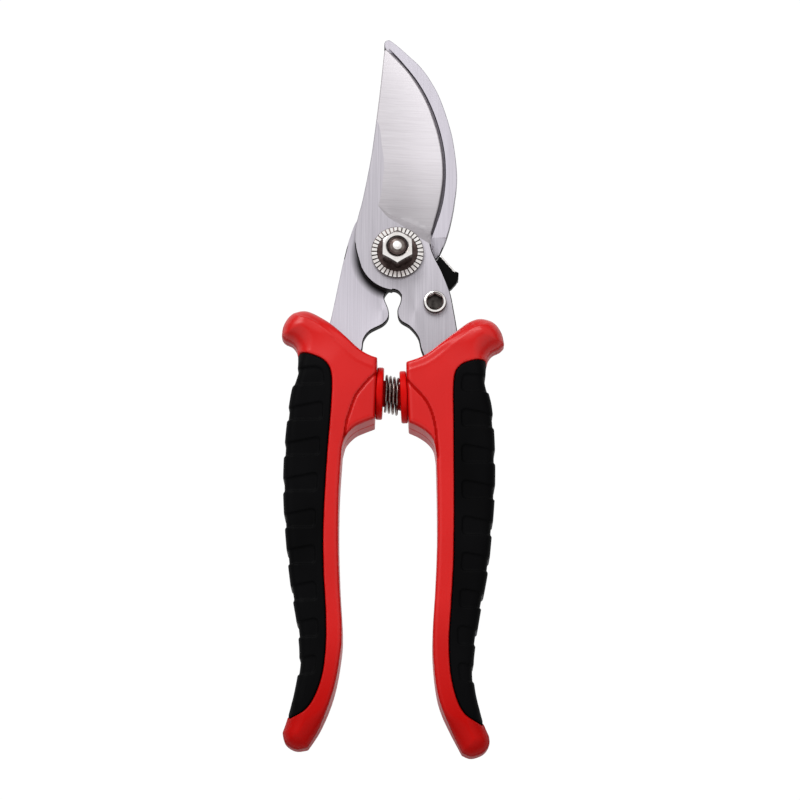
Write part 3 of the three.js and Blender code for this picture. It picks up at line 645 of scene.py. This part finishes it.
BLADE_RIM = outline(BLADE, FINE_STEP)
HOOK_RIM = outline(HOOK, FINE_STEP)
EDGE_LINE = smooth_curve(CUTTING_EDGE, FINE_STEP)
SIDE_LINE = smooth_curve(GRIND_SIDE, FINE_STEP)
STOP_LINE = smooth_curve(GRIND_STOP, FINE_STEP)
GRIND_AREA = np.vstack([SIDE_LINE, STOP_LINE[1:], [(30, 0.9), (30, 70), (-17, 70)]])
EDGE_HEIGHT = 0.5  # the blade's thickness behind its keen edge
HOLLOW = 0.3  # how far the bevel sags below a straight one
RAMP = 0.7  # slope where the grinding wheel ran out
KEEN_WIDTH = 0.35
KEEN_DROP = 0.07


def ground(x, y):
    """Height of the hollow-ground bevel."""
    edge, side = distance(EDGE_LINE, x, y), distance(SIDE_LINE, x, y)
    share = edge / np.maximum(edge + side, 1e-6)
    low = BLADE_Z[0] + EDGE_HEIGHT
    height = low + (BLADE_Z[1] - low) * (share - HOLLOW * share * (1 - share))
    keen = KEEN_DROP * np.maximum(1 - edge / KEEN_WIDTH, 0)
    return height - keen


def blade_top(x, y):
    ramp = BLADE_Z[1] - RAMP * distance(STOP_LINE, x, y)
    return np.where(within(GRIND_AREA, x, y), np.maximum(ground(x, y), ramp), BLADE_Z[1])


def offset_line(line, amount):
    """A line moved to its left, by one amount or by one for each point."""
    tangent = np.gradient(line, axis=0)
    normal = np.stack([-tangent[:, 1], tangent[:, 0]], 1) / np.linalg.norm(tangent, axis=1)[:, None]
    return line + normal * np.reshape(amount, (-1, 1))


def ramp_foot():
    """Where the ramp at the stop line meets the bevel."""
    return offset_line(STOP_LINE, (BLADE_Z[1] - ground(*STOP_LINE.T)) / RAMP)


def inside_rim(line, rim, margin):
    """The stretch of a line that lies inside an outline by a margin."""
    keep = signed(rim, line[:, 0], line[:, 1]) < -margin
    return line[keep]


def flat_at(height):
    """A plate's flat underside, as a height at each x, y."""
    return lambda x, y: np.full(x.shape, height)


def dark_edge(middle, kinds, rim, chamfer):
    """Which faces of a plate's chamfer below the cutting part share the cut walls' painted shade."""
    depth = -signed(rim, middle[:, 0], middle[:, 1])
    return (kinds == 0) & (middle[:, 1] < DARK_EDGE_TOP) & (depth < chamfer * 0.9)


def cutting_blade():
    keen_line = offset_line(EDGE_LINE, KEEN_WIDTH)
    folds = [inside_rim(line, BLADE_RIM, 0.25) for line in (SIDE_LINE, STOP_LINE, ramp_foot(), keen_line)]
    holes = [hole(0, 0, PIVOT_HOLE), hole(*CATCH_AXIS, CATCH_HOLE)]
    points, faces, kinds = plate(BLADE_RIM, holes, blade_top, flat_at(BLADE_Z[0]), BLADE_CHAMFER, folds)
    middle = np.array([points[list(face)].mean(0) for face in faces])
    bevel = within(GRIND_AREA, middle[:, 0], middle[:, 1]) & (kinds == 0)
    sloping = BLADE_Z[1] - RAMP * distance(STOP_LINE, middle[:, 0], middle[:, 1])
    on_ramp = bevel & (sloping > ground(middle[:, 0], middle[:, 1]))
    # The cut walls and the chamfer below the cutting part take near-black steel, painted shade.
    edge = dark_edge(middle, kinds, BLADE_RIM, BLADE_CHAMFER)
    finish = np.select([on_ramp, bevel, edge | (kinds == 2)], [3, 1, 2], 0)
    finishes = [STEEL_BLADE, STEEL_BEVEL, STEEL_CUT_SHADE, STEEL_RAMP]
    place("cutting_blade", points, faces, finishes, "blade_side", ["blade_plate"], finish)


GROOVE_LINE = smooth_curve(GROOVE_SIDE, FINE_STEP)
GROOVE_DEPTH = 0.7
GROOVE_WALL = 0.2
GROOVE_WIDTH = 2.2
FOOT_LEVEL = 5.3  # in y, below which the hook's foot beside the catch slopes down
FOOT_SLOPE = 0.42


def hook_top(x, y):
    floor = offset_line(GROOVE_LINE, -(GROOVE_WIDTH / 2))
    away = distance(floor, x, y)
    depth = GROOVE_DEPTH * np.clip((GROOVE_WIDTH / 2 - away) / GROOVE_WALL, 0, 1)
    foot = FOOT_SLOPE * np.maximum(FOOT_LEVEL - y, 0) * (x > 9) * (y > -3)
    return HOOK_Z[1] - depth - foot


def counter_blade():
    shifts = (0, GROOVE_WALL, GROOVE_WIDTH - GROOVE_WALL, GROOVE_WIDTH)
    folds = [offset_line(GROOVE_LINE, -shift) for shift in shifts]
    folds.append(np.array([(9.5, FOOT_LEVEL), (13.3, FOOT_LEVEL)]))
    folds = [inside_rim(line, HOOK_RIM, 0.3) for line in folds]
    holes = [hole(0, 0, PIVOT_HOLE)]
    points, faces, kinds = plate(HOOK_RIM, holes, hook_top, flat_at(HOOK_Z[0]), HOOK_CHAMFER, folds)
    middle = np.array([points[list(face)].mean(0) for face in faces])
    floor = offset_line(GROOVE_LINE, -(GROOVE_WIDTH / 2))
    # The sap groove takes the dark steel, painted shade in the recess.
    groove = (distance(floor, middle[:, 0], middle[:, 1]) < GROOVE_WIDTH / 2) & (kinds == 0)
    # The hook's cut walls and lower chamfer take near-black steel, painted shade.
    edge = dark_edge(middle, kinds, HOOK_RIM, HOOK_CHAMFER) & (middle[:, 0] > DARK_EDGE_LEFT)
    finish = np.select([groove, edge | (kinds == 2)], [2, 1], 0)
    finishes = [STEEL_HOOK, STEEL_CUT_SHADE, STEEL_GROOVE_SHADE]
    place("counter_blade", points, faces, finishes, "hook_side", ["hook_plate"], finish)


# ---- handles

CELL = 0.34
SEAM = 0.1  # from the colour border to each piece
SHOULDER_WIDTH = 2.7
SHOULDER_SLOPE = 0.06
SHOULDER_STEP = 0.08
ARC_WIDTH = 0.55
ARC_DEPTH = 0.45
# How far from the arc the painted groove shade reaches.
ARC_SHADE_REACH = 0.36
EDGE_RADIUS = 1.15  # where the faces meet the sides, and how much rounder it is in three places
HORN_ROUNDING = 4.6
HORN_SPAN = (15, 3)  # distances from the horn's middle over which it sets in
END_ROUNDING = 4.2
END_SPAN = (12, 2.5)
GRIP_ROUNDING = 1.5
SEAM_ROUNDING = 0.25
SLOT_GAP = 0.15  # around the plate's outline
SLOT_FACE_GAP = 0.12
SLOT_DEPTH = 4.0  # from the handle's outline
WALL_RISE = 0.4  # the upright share of the normal below which a face is a side wall
TONGUE = 0.8  # how far the red body reaches under the grip
TONGUE_HEIGHTS = (4.2, 3.4)  # from the middle, between which it rises
BEAD = {"left": 0.17, "right": 0.05}  # the light ridge along each shoulder
BEAD_WIDTH = 0.4
HORN_SLOPE = 0.13  # how the faces fall over the horns
PARTING_DEPTH = 0.22
PARTING_WIDTH = 0.17
WINDOW_PITCH = 9.75
WINDOW_HEIGHT = 4.9
WINDOW_SLOPE = 0.2
WINDOW_BAND = 2.1  # from the colour border
WINDOW_CORNER = 1.1
WINDOW_EDGE = 0.18
WINDOW_DEPTH = 0.42
WINDOW_COUNT = 9
FIRST_WINDOW = {"left": -38.0, "right": -40.0}


def grid(line):
    """The grid's x, y and z values around an outline. Heights crowd at the faces and the parting line."""
    margin = 3 * CELL
    low, high = line.min(0) - margin, line.max(0) + margin
    xs, ys = (np.arange(low[i], high[i], CELL) for i in range(2))
    from_middle = np.concatenate([np.arange(0.06, 0.6, 0.12), np.arange(0.7, HALF_THICKNESS - 3.4, 0.6),
                                  np.arange(HALF_THICKNESS - 3.3, HALF_THICKNESS + 0.9, 0.3)])
    zs = MIDDLE_Z + np.concatenate([-from_middle[::-1], from_middle])
    return xs, ys, zs


def windows(x, y, border, first):
    """How far each point is into one of the grip's windows, from 0 to 1. They open at the outer side."""
    over = -border - WINDOW_BAND
    total = np.zeros(x.shape)
    for i in range(WINDOW_COUNT):
        foot = first - i * WINDOW_PITCH
        head = foot + WINDOW_HEIGHT - WINDOW_SLOPE * np.maximum(over - 1, 0)
        inner = np.maximum(y - head, foot - y)
        total = np.maximum(total, ease(WINDOW_EDGE, -WINDOW_EDGE, both(inner, -over, WINDOW_CORNER)))
    return total


def handle(side, body, lines, horn, end, plate_rim, plate_z):
    """A red body and its grip, between its horn and its end.

    lines holds its outline's stretches, the grip's border, the shoulder and the arc beside the spring."""
    stretches, border_points, shoulder, arc_points = lines
    whole = outline(stretches, FINE_STEP)
    arc_line = smooth_curve(arc_points, FINE_STEP)
    xs, ys, zs = grid(whole)
    x, y = np.meshgrid(xs, ys, indexing="ij")
    rim = signed(whole, x, y)
    border = signed(smooth_curve(border_points, FINE_STEP), x, y)
    ridge = shoulder[:-3] if side == "left" else shoulder[3:]  # all but the horn's outer side
    to_shoulder = distance(smooth_curve(ridge, FINE_STEP), x, y)
    to_arc = distance(arc_line, x, y)
    horn_share = ease(*HORN_SPAN, np.hypot(x - horn[0], y - horn[1]))
    end_share = ease(*END_SPAN, np.hypot(x - end[0], y - end[1]))
    grip_share = ease(GRIP_ROUNDING, -GRIP_ROUNDING, border)
    radius = EDGE_RADIUS + np.maximum.reduce([HORN_ROUNDING * horn_share, END_ROUNDING * end_share,
                                              GRIP_ROUNDING * grip_share])

    half = HALF_THICKNESS - SHOULDER_SLOPE * np.maximum(SHOULDER_WIDTH - to_shoulder, 0)
    half -= SHOULDER_STEP * ease(SHOULDER_WIDTH, SHOULDER_WIDTH - 0.5, to_shoulder)
    half -= HORN_SLOPE * horn_share * np.maximum(horn[1] + 0.5 - y, 0)
    half += BEAD[side] * np.exp(-(((to_shoulder - SHOULDER_WIDTH) / BEAD_WIDTH) ** 2))
    half -= ARC_DEPTH * ease(ARC_WIDTH, 0.05, to_arc)
    height = np.abs(zs - MIDDLE_Z)
    seam = border[:, :, None] + TONGUE * ease(*TONGUE_HEIGHTS, height)[None, None, :]
    shape = both(rim[:, :, None], height[None, None, :] - half[:, :, None], radius[:, :, None])
    parting = PARTING_DEPTH * np.exp(-((height / PARTING_WIDTH) ** 2))
    slot_plan = np.maximum(signed(plate_rim, x, y) - SLOT_GAP, -rim - SLOT_DEPTH)
    from_plate = np.abs(zs - sum(plate_z) / 2) - (plate_z[1] - plate_z[0]) / 2 - SLOT_FACE_GAP
    slot = np.maximum(slot_plan[:, :, None], from_plate[None, None, :])

    red = np.maximum(both(shape + parting[None, None, :], SEAM - seam, SEAM_ROUNDING), -slot)
    points, faces = skin(red, (xs, ys, zs))
    middle = points[faces].mean(1)
    # Faces along the arc groove take the darker red, painted shade.
    arc_shade = distance(arc_line, middle[:, 0], middle[:, 1]) < ARC_SHADE_REACH
    arc_shade &= np.abs(middle[:, 2] - MIDDLE_Z) > HALF_THICKNESS - 1.5
    across = np.cross(points[faces[:, 2]] - points[faces[:, 0]], points[faces[:, 3]] - points[faces[:, 1]])
    steep = np.abs(across[:, 2]) < WALL_RISE * np.linalg.norm(across, axis=1)
    place(f"{side}_handle", points, faces, [RED, RED_GROOVE_SHADE, RED_WALL], body,
          [f"{side}_handle_body"], np.select([arc_shade, steep], [1, 2], 0), creased=False)

    pressed = shape + WINDOW_DEPTH * windows(x, y, border, FIRST_WINDOW[side])[:, :, None]
    black = both(pressed, seam + SEAM, SEAM_ROUNDING)
    points, faces = skin(black, (xs, ys, zs))
    place(f"{side}_soft_grip", points, faces, [RUBBER], body, [f"{side}_grip"], creased=False)


# ---- spring and seats

SEAT_RADIUS = 7.1
SEAT_THICKNESS = 1.8
STEM_RADIUS = 2.6
STEM_DEPTH = 5
SEAT_GAP = 0.1  # between a handle and the seat's back
SEAT_ROUNDING = 0.45
PEG_RADIUS = 3.7
PEG_END = 1
PEG_TAPER = 0.3
COIL_RADIUS = 4.85
WIRE_RADIUS = 0.42
WIRE_HALF_WIDTH = 0.35  # along the coil, where opening stretches it
COIL_TURNS = 3.6
COIL_START = 0.2  # turns past straight down
STEPS_PER_TURN = 56
WIRE_SIDES = 14


def spring_seat(side, body, middle, turn):
    steps = even(96)
    inner, rim = SEAT_RADIUS - SEAT_ROUNDING, SEAT_ROUNDING
    front = SEAT_THICKNESS + SEAT_GAP
    profile = [(STEM_RADIUS, -STEM_DEPTH), (STEM_RADIUS, SEAT_GAP), (inner, SEAT_GAP)]
    profile += arc(inner, SEAT_GAP + rim, rim, -60, 0, 2)
    profile += arc(inner, front - rim, rim, 0, 90, 3)
    profile += [(PEG_RADIUS, front), (PEG_RADIUS - PEG_TAPER, SEAT_THICKNESS + PEG_END)]
    points, faces = revolve(profile, steps)
    along, across, up = points[:, 2].copy(), points[:, 0].copy(), points[:, 1].copy()
    cos, sin = math.cos(turn), math.sin(turn)
    placed = np.stack([middle[0] + along * cos - across * sin, middle[1] + along * sin + across * cos,
                       MIDDLE_Z + up], 1)
    place(f"{side}_seat", placed, faces, [RED_WALL], body, [f"{side}_spring_seat"])


def opening_coil():
    """The coil, squeezed almost shut between the seats."""
    low, high = span("opening_spring")
    start = np.array([low[0] + WIRE_RADIUS, LEFT_SEAT[1], MIDDLE_Z])
    end = np.array([high[0] - WIRE_RADIUS, RIGHT_SEAT[1], MIDDLE_Z])
    steps, sides = round(COIL_TURNS * STEPS_PER_TURN), WIRE_SIDES
    t = np.linspace(0, 1, steps + 1)
    angle = 2 * math.pi * (COIL_START + COIL_TURNS * t)
    path = start + (end - start) * t[:, None]
    path[:, 1] -= COIL_RADIUS * np.sin(angle)
    path[:, 2] -= COIL_RADIUS * np.cos(angle)
    forward = np.gradient(path, axis=0)
    forward /= np.linalg.norm(forward, axis=1)[:, None]
    outward = np.stack([np.zeros(len(t)), -np.sin(angle), -np.cos(angle)], 1)
    outward -= (outward * forward).sum(1)[:, None] * forward
    outward /= np.linalg.norm(outward, axis=1)[:, None]
    beside = np.cross(forward, outward)
    points, faces = [], []
    for a in even(sides):
        points.append(path + WIRE_RADIUS * math.cos(a) * outward + WIRE_HALF_WIDTH * math.sin(a) * beside)
    points = np.stack(points, 1).reshape(-1, 3)
    for i in range(steps):
        for j in range(sides):
            k = (j + 1) % sides
            faces.append((i * sides + j, i * sides + k, (i + 1) * sides + k, (i + 1) * sides + j))
    faces.append(tuple(range(sides - 1, -1, -1)))
    faces.append(tuple(steps * sides + j for j in range(sides)))
    made = place("coil_spring", points, faces, [WIRE], None, ["opening_spring"])
    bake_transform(made)


# ---- pivot


NUT_ACROSS_FLATS = 8.0
CATCH_NUT_ACROSS_FLATS = 7.0
SOCKET_ACROSS_FLATS = 3.8
TEETH = 36
CORNER_CHAMFER = math.radians(22)
CATCH_NUT_CHAMFER = math.radians(30)


def hexagonal(across_flats, angles):
    """A hexagon's radius at each angle, with corners along Y."""
    off = np.mod(angles + math.pi / 6, math.pi / 3) - math.pi / 6
    return across_flats / 2 / np.cos(off)


def pivot():
    head = span("rear_washer")[0][2]
    bolt_top = span("pivot_bolt")[1][2]
    steps = even(96)
    points, faces = revolve([
        (4.9, 0.0), (5.3, 0.1), (5.75, 0.35), (6, 0.8), (6, head - 0.25), (5.8, head - 0.06),
        (3.25, head - 0.05), (3.25, BLADE_Z[1]), (2.5, BLADE_Z[1] + 0.1), (2.5, bolt_top - 0.8),
        (2.15, bolt_top - 0.6), (2, bolt_top - 0.5), (1.2, bolt_top - 0.2), (0.95, bolt_top - 0.06),
        (0.5, bolt_top),
    ], steps)
    # The bolt end's chamfer takes dark nickel and its slope dark grey nickel, painted shade.
    finish = banded([0] * 9 + [1, 1, 3, 2, 2], len(steps), (0, 2))
    place("pivot_bolt_plated", points, faces, [NICKEL, NICKEL_SHADE, NICKEL_DULL, BOLT_END_SHADE], "hook_side",
          ["pivot_bolt"], finish)

    low, high = span("rear_washer")
    points, faces = revolve([(3.35, low[2]), (6.8, low[2]), (7, low[2] + 0.2), (7, high[2] - 0.2),
                             (6.8, high[2]), (3.35, high[2])], steps, closed=True)
    place("rear_washer_plated", points, faces, [NICKEL], "hook_side", ["rear_washer"])

    low, high = span("serrated_washer")
    shares = np.array([0.0, 0.07, 0.76, 0.83])  # of a pitch: a tooth's foot, top, top and foot
    angles = ((np.arange(TEETH)[:, None] + shares[None, :]) * 2 * math.pi / TEETH).ravel()
    ridge = np.tile([0.0, 1.0, 1.0, 0.0], TEETH)
    top = high[2]
    points, faces = revolve([
        (2.6, low[2]), (7.0, low[2]), (7.15, low[2] + 0.2), (7.15, top - 0.6 + 0.45 * ridge),
        (7.0, top - 0.5 + 0.45 * ridge), (5.6, top - 0.4 + 0.38 * ridge), (5.35, top), (2.6, top),
    ], angles, closed=True)
    # The washer's outer side, the valleys between its teeth and its inner flat ring take dark nickel,
    # painted shade.
    crown = np.tile([1, 0, 1, 1], TEETH)
    plain_ring, dark_ring = np.zeros(len(angles), int), np.ones(len(angles), int)
    finish = np.concatenate([plain_ring, dark_ring, dark_ring, crown,
                             crown, dark_ring, dark_ring, plain_ring])
    place("serrated_washer_plated", points, faces, [NICKEL, NICKEL_SHADE], "hook_side",
          ["serrated_washer"], finish)

    low, high = span("pivot_nut")
    steps = even(144)
    edge = hexagonal(NUT_ACROSS_FLATS, steps)
    crown = 3.72
    slope = math.tan(CORNER_CHAMFER)
    drop = np.maximum(edge - crown, 0) * slope
    points, faces = revolve([
        (2.6, low[2]), (3.7, low[2]), (edge, low[2] + np.maximum(edge - 3.8, 0) * slope),
        (edge, high[2] - drop - 0.05), (edge - 0.06, high[2] - drop), (crown, high[2]), (3.15, high[2]),
        (2.95, high[2] - 0.15), (2.95, high[2] - 0.4), (3.34, high[2] - 0.45), (3.34, high[2] - 1.3),
        (2.6, high[2] - 1.35),
    ], steps, closed=True)
    # The nut's lower chamfer and flats take dark nickel, painted shade.
    sides = banded([0, 1, 1] + [0] * 9, len(steps))
    place("pivot_nut_plated", points, faces, [NICKEL, NICKEL_SHADE], "hook_side",
          ["pivot_nut"], sides)

    low, high = span("nut_lock_insert")
    points, faces = revolve([(2.6, low[2]), (3.3, low[2]), (3.3, high[2] - 0.55), (3.1, high[2] - 0.45),
                             (2.8, high[2] - 0.45), (2.6, high[2] - 0.6)], steps, closed=True)
    place("lock_insert", points, faces, [NYLON], "hook_side", ["nut_lock_insert"])


def about(points, centre):
    return points + np.array([centre[0], centre[1], 0])


def catch_hardware():
    low, high = span("catch_screw")
    top = high[2]
    steps = even(144)
    socket = hexagonal(SOCKET_ACROSS_FLATS, steps)
    under = BLADE_Z[1] + 0.05
    points, faces = revolve([
        (1.8, low[2]), (2, low[2] + 0.2), (2, under), (3.1, under), (3.15, under + 0.1), (3.15, top - 0.6),
        (3.1, top - 0.35), (2.9, top - 0.06), (2.7, top), (2.4, top - 0.03), (2.3, top - 0.12),
        (socket, top - 0.35), (socket, top - 1.2),
    ], steps)
    # The head's side and outer chamfer and the socket's walls take dark nickel, its floor darker, painted
    # shade.
    finish = banded([0] * 4 + [1, 1, 1, 0, 0, 0, 1, 1], len(steps), (0, 2))
    place("catch_screw_plated", about(points, CATCH_AXIS), faces, [NICKEL, NICKEL_SHADE, SOCKET_SHADE],
          "blade_side", ["catch_screw"], finish)
    low, high = span("catch_wave_washer")
    wave = 0.08 * np.cos(3 * steps)
    under, over = ((low[2] + high[2]) / 2 + side * 0.14 + wave for side in (-1, 1))
    points, faces = revolve([(2.1, under), (3.9, under), (3.9, over), (2.1, over)], steps, closed=True)
    place("wave_washer", about(points, CATCH_AXIS), faces, [NICKEL], "blade_side",
          ["catch_wave_washer"])
    low, high = span("catch_nut")
    edge = hexagonal(CATCH_NUT_ACROSS_FLATS, steps)
    drop = np.maximum(edge - 3.35, 0) * math.tan(CATCH_NUT_CHAMFER)
    points, faces = revolve([(2.1, low[2] + 0.3), (2.4, low[2]), (3.35, low[2]), (edge, low[2] + drop),
                             (edge, high[2] - drop), (3.35, high[2]), (2.1, high[2])], steps, closed=True)
    place("catch_nut_plated", about(points, CATCH_AXIS), faces, [NICKEL], "blade_side",
          ["catch_nut"])


CATCH_ARM = [(7.4, -10.8), (8.6, -9), (11.4, -5.2), (9.9, -3.5), (9.5, -2.7), (11.9, 0.5), (15.8, -4.1),
             (16.8, -4.6), (16.7, -6.4), (16.1, -7.6), (14.7, -9.2), (13.4, -9.8), (13.4, -11.5)]
CATCH_TAB = [(14.9, -4.6), (16.8, -4.6), (16.7, -6.4), (14.9, -6.4)]
CATCH_EYE_RADIUS = 4.6
CATCH_THICKNESS = 2.4
CATCH_CELL = 0.17
# The line along the arm's upper edge that is faced with bright nickel, and how far that strip reaches.
BRIGHT_EDGE = [(12.1, 0.4), (15.7, -3.9)]
BRIGHT_EDGE_WIDTH = 0.55


def catch():
    low, high = span("lock_catch")
    arm_low = high[2] - CATCH_THICKNESS
    margin = 0.6
    xs, ys, zs = (np.arange(low[i] - margin, high[i] + margin, CATCH_CELL) for i in range(3))
    x, y = np.meshgrid(xs, ys, indexing="ij")
    from_axis = np.hypot(x - CATCH_AXIS[0], y - CATCH_AXIS[1])
    arm = np.minimum(signed(np.array(CATCH_ARM), x, y), from_axis - CATCH_EYE_RADIUS)
    arm = np.maximum(arm, CATCH_HOLE - from_axis)
    tab = signed(np.array(CATCH_TAB), x, y)
    arm_z = np.abs(zs - (high[2] + arm_low) / 2) - (high[2] - arm_low) / 2
    tab_z = np.abs(zs - (high[2] + low[2]) / 2) - (high[2] - low[2]) / 2
    field = np.minimum(both(arm[:, :, None], arm_z[None, None, :], 0.35),
                       both(tab[:, :, None], tab_z[None, None, :], 0.45))
    points, faces = skin(field, (xs, ys, zs))
    middle = points[faces].mean(1)
    bright_strip = distance(np.array(BRIGHT_EDGE), middle[:, 0], middle[:, 1]) < BRIGHT_EDGE_WIDTH
    place("thumb_catch", points, faces, [PAINT, NICKEL], "catch", ["lock_catch"],
          bright_strip.astype(int), creased=False)


# ---- stage, light and camera

VIEW_TILT = math.radians(14)
VIEW_DISTANCE = 700
VIEW_CENTRE = (0.71, -41.34, 10.5)
LENS = 117
SENSOR_WIDTH = 36
FLOOR_REACH = 4.0
FLOOR_GAP = 0.0004
KEY_PLACE = (-0.3, 0.5, 0.5)
KEY_AIM = (0, -0.02, 0)
KEY_SIZE = (0.5, 0.4)
KEY_POWER = 3.6

# The surround's brightness against the sine of the height above the horizon.
SURROUND = [(0, 0.1), (0.3, 0.1), (0.46, 1.0), (0.963, 1.0), (0.978, 0.5), (0.986, 0.12), (0.995, 0.03)]
SURROUND_WARMTH = 0.75  # how far its dark parts lean to brown
SURROUND_STRENGTH = 0.94


def camera():
    data = bpy.data.cameras.new("camera")
    data.lens = LENS
    data.sensor_width = SENSOR_WIDTH
    made = bpy.data.objects.new("camera", data)
    x, y, z = VIEW_CENTRE
    made.location = [v * MM for v in (x, y - VIEW_DISTANCE * math.sin(VIEW_TILT),
                                      z + VIEW_DISTANCE * math.cos(VIEW_TILT))]
    made.rotation_euler = (VIEW_TILT, 0, 0)
    bpy.context.scene.collection.objects.link(made)
    bpy.context.scene.camera = made


def stage():
    """A white floor, and a soft surround: dark overhead and at the horizon, bright between."""
    white = bpy.data.materials.new("floor")
    white.use_nodes = True
    shader = white.node_tree.nodes["Principled BSDF"]
    for socket, value in (("Base Color", (0.02, 0.02, 0.02, 1)), ("Roughness", 0.9),
                          ("Specular IOR Level", 0.1), ("Emission Color", (1, 1, 1, 1)),
                          ("Emission Strength", 1.0)):
        shader.inputs[socket].default_value = value
    floor_z = min(cad_box[0][2], 0) - FLOOR_GAP
    corners = [(x * FLOOR_REACH, y * FLOOR_REACH, floor_z) for x, y in ((-1, -1), (1, -1), (1, 1), (-1, 1))]
    mesh = bpy.data.meshes.new("floor")
    mesh.from_pydata(corners, [], [(0, 1, 2, 3)])
    mesh.materials.append(white)
    floor = bpy.data.objects.new("floor", mesh)
    bpy.context.scene.collection.objects.link(floor)
    floor.visible_diffuse = False  # so that its glow doesn't light the pieces

    world = bpy.data.worlds.new("surround")
    world.use_nodes = True
    tree = world.node_tree
    height = tree.nodes.new("ShaderNodeSeparateXYZ")
    tree.links.new(tree.nodes.new("ShaderNodeTexCoord").outputs["Generated"], height.inputs["Vector"])
    ramp = tree.nodes.new("ShaderNodeValToRGB")
    tree.links.new(height.outputs["Z"], ramp.inputs["Fac"])
    stops = ramp.color_ramp.elements
    for _ in range(len(SURROUND) - len(stops)):
        stops.new(0.5)
    for stop, (at, shade) in zip(stops, SURROUND):
        stop.position = at
        cool = shade * SURROUND_WARMTH ** (1 - shade)
        stop.color = (shade, cool, cool, 1)
    background = tree.nodes["Background"]
    tree.links.new(ramp.outputs["Color"], background.inputs["Color"])
    background.inputs["Strength"].default_value = SURROUND_STRENGTH
    bpy.context.scene.world = world
    bpy.context.scene.view_settings.view_transform = "Standard"


def key_light():
    data = bpy.data.lights.new("key", "AREA")
    data.shape = "RECTANGLE"
    data.size, data.size_y = KEY_SIZE
    data.energy = KEY_POWER
    made = bpy.data.objects.new("key", data)
    made.location = KEY_PLACE
    made.rotation_euler = (Vector(KEY_AIM) - Vector(KEY_PLACE)).to_track_quat("-Z", "Y").to_euler()
    bpy.context.scene.collection.objects.link(made)


# ---- the whole

camera()
stage()
key_light()
cutting_blade()
counter_blade()
handle("left", "hook_side", (LEFT_HANDLE, LEFT_BORDER, LEFT_SHOULDER, LEFT_ARC),
       LEFT_HORN, LEFT_END, HOOK_RIM, HOOK_Z)
handle("right", "blade_side", (RIGHT_HANDLE, RIGHT_BORDER, RIGHT_SHOULDER, RIGHT_ARC),
       RIGHT_HORN, RIGHT_END, BLADE_RIM, BLADE_Z)
spring_seat("left", "hook_side", LEFT_SEAT, -SEAT_TILT)
spring_seat("right", "blade_side", RIGHT_SEAT, math.pi + SEAT_TILT)
opening_coil()
pivot()
catch_hardware()
catch()
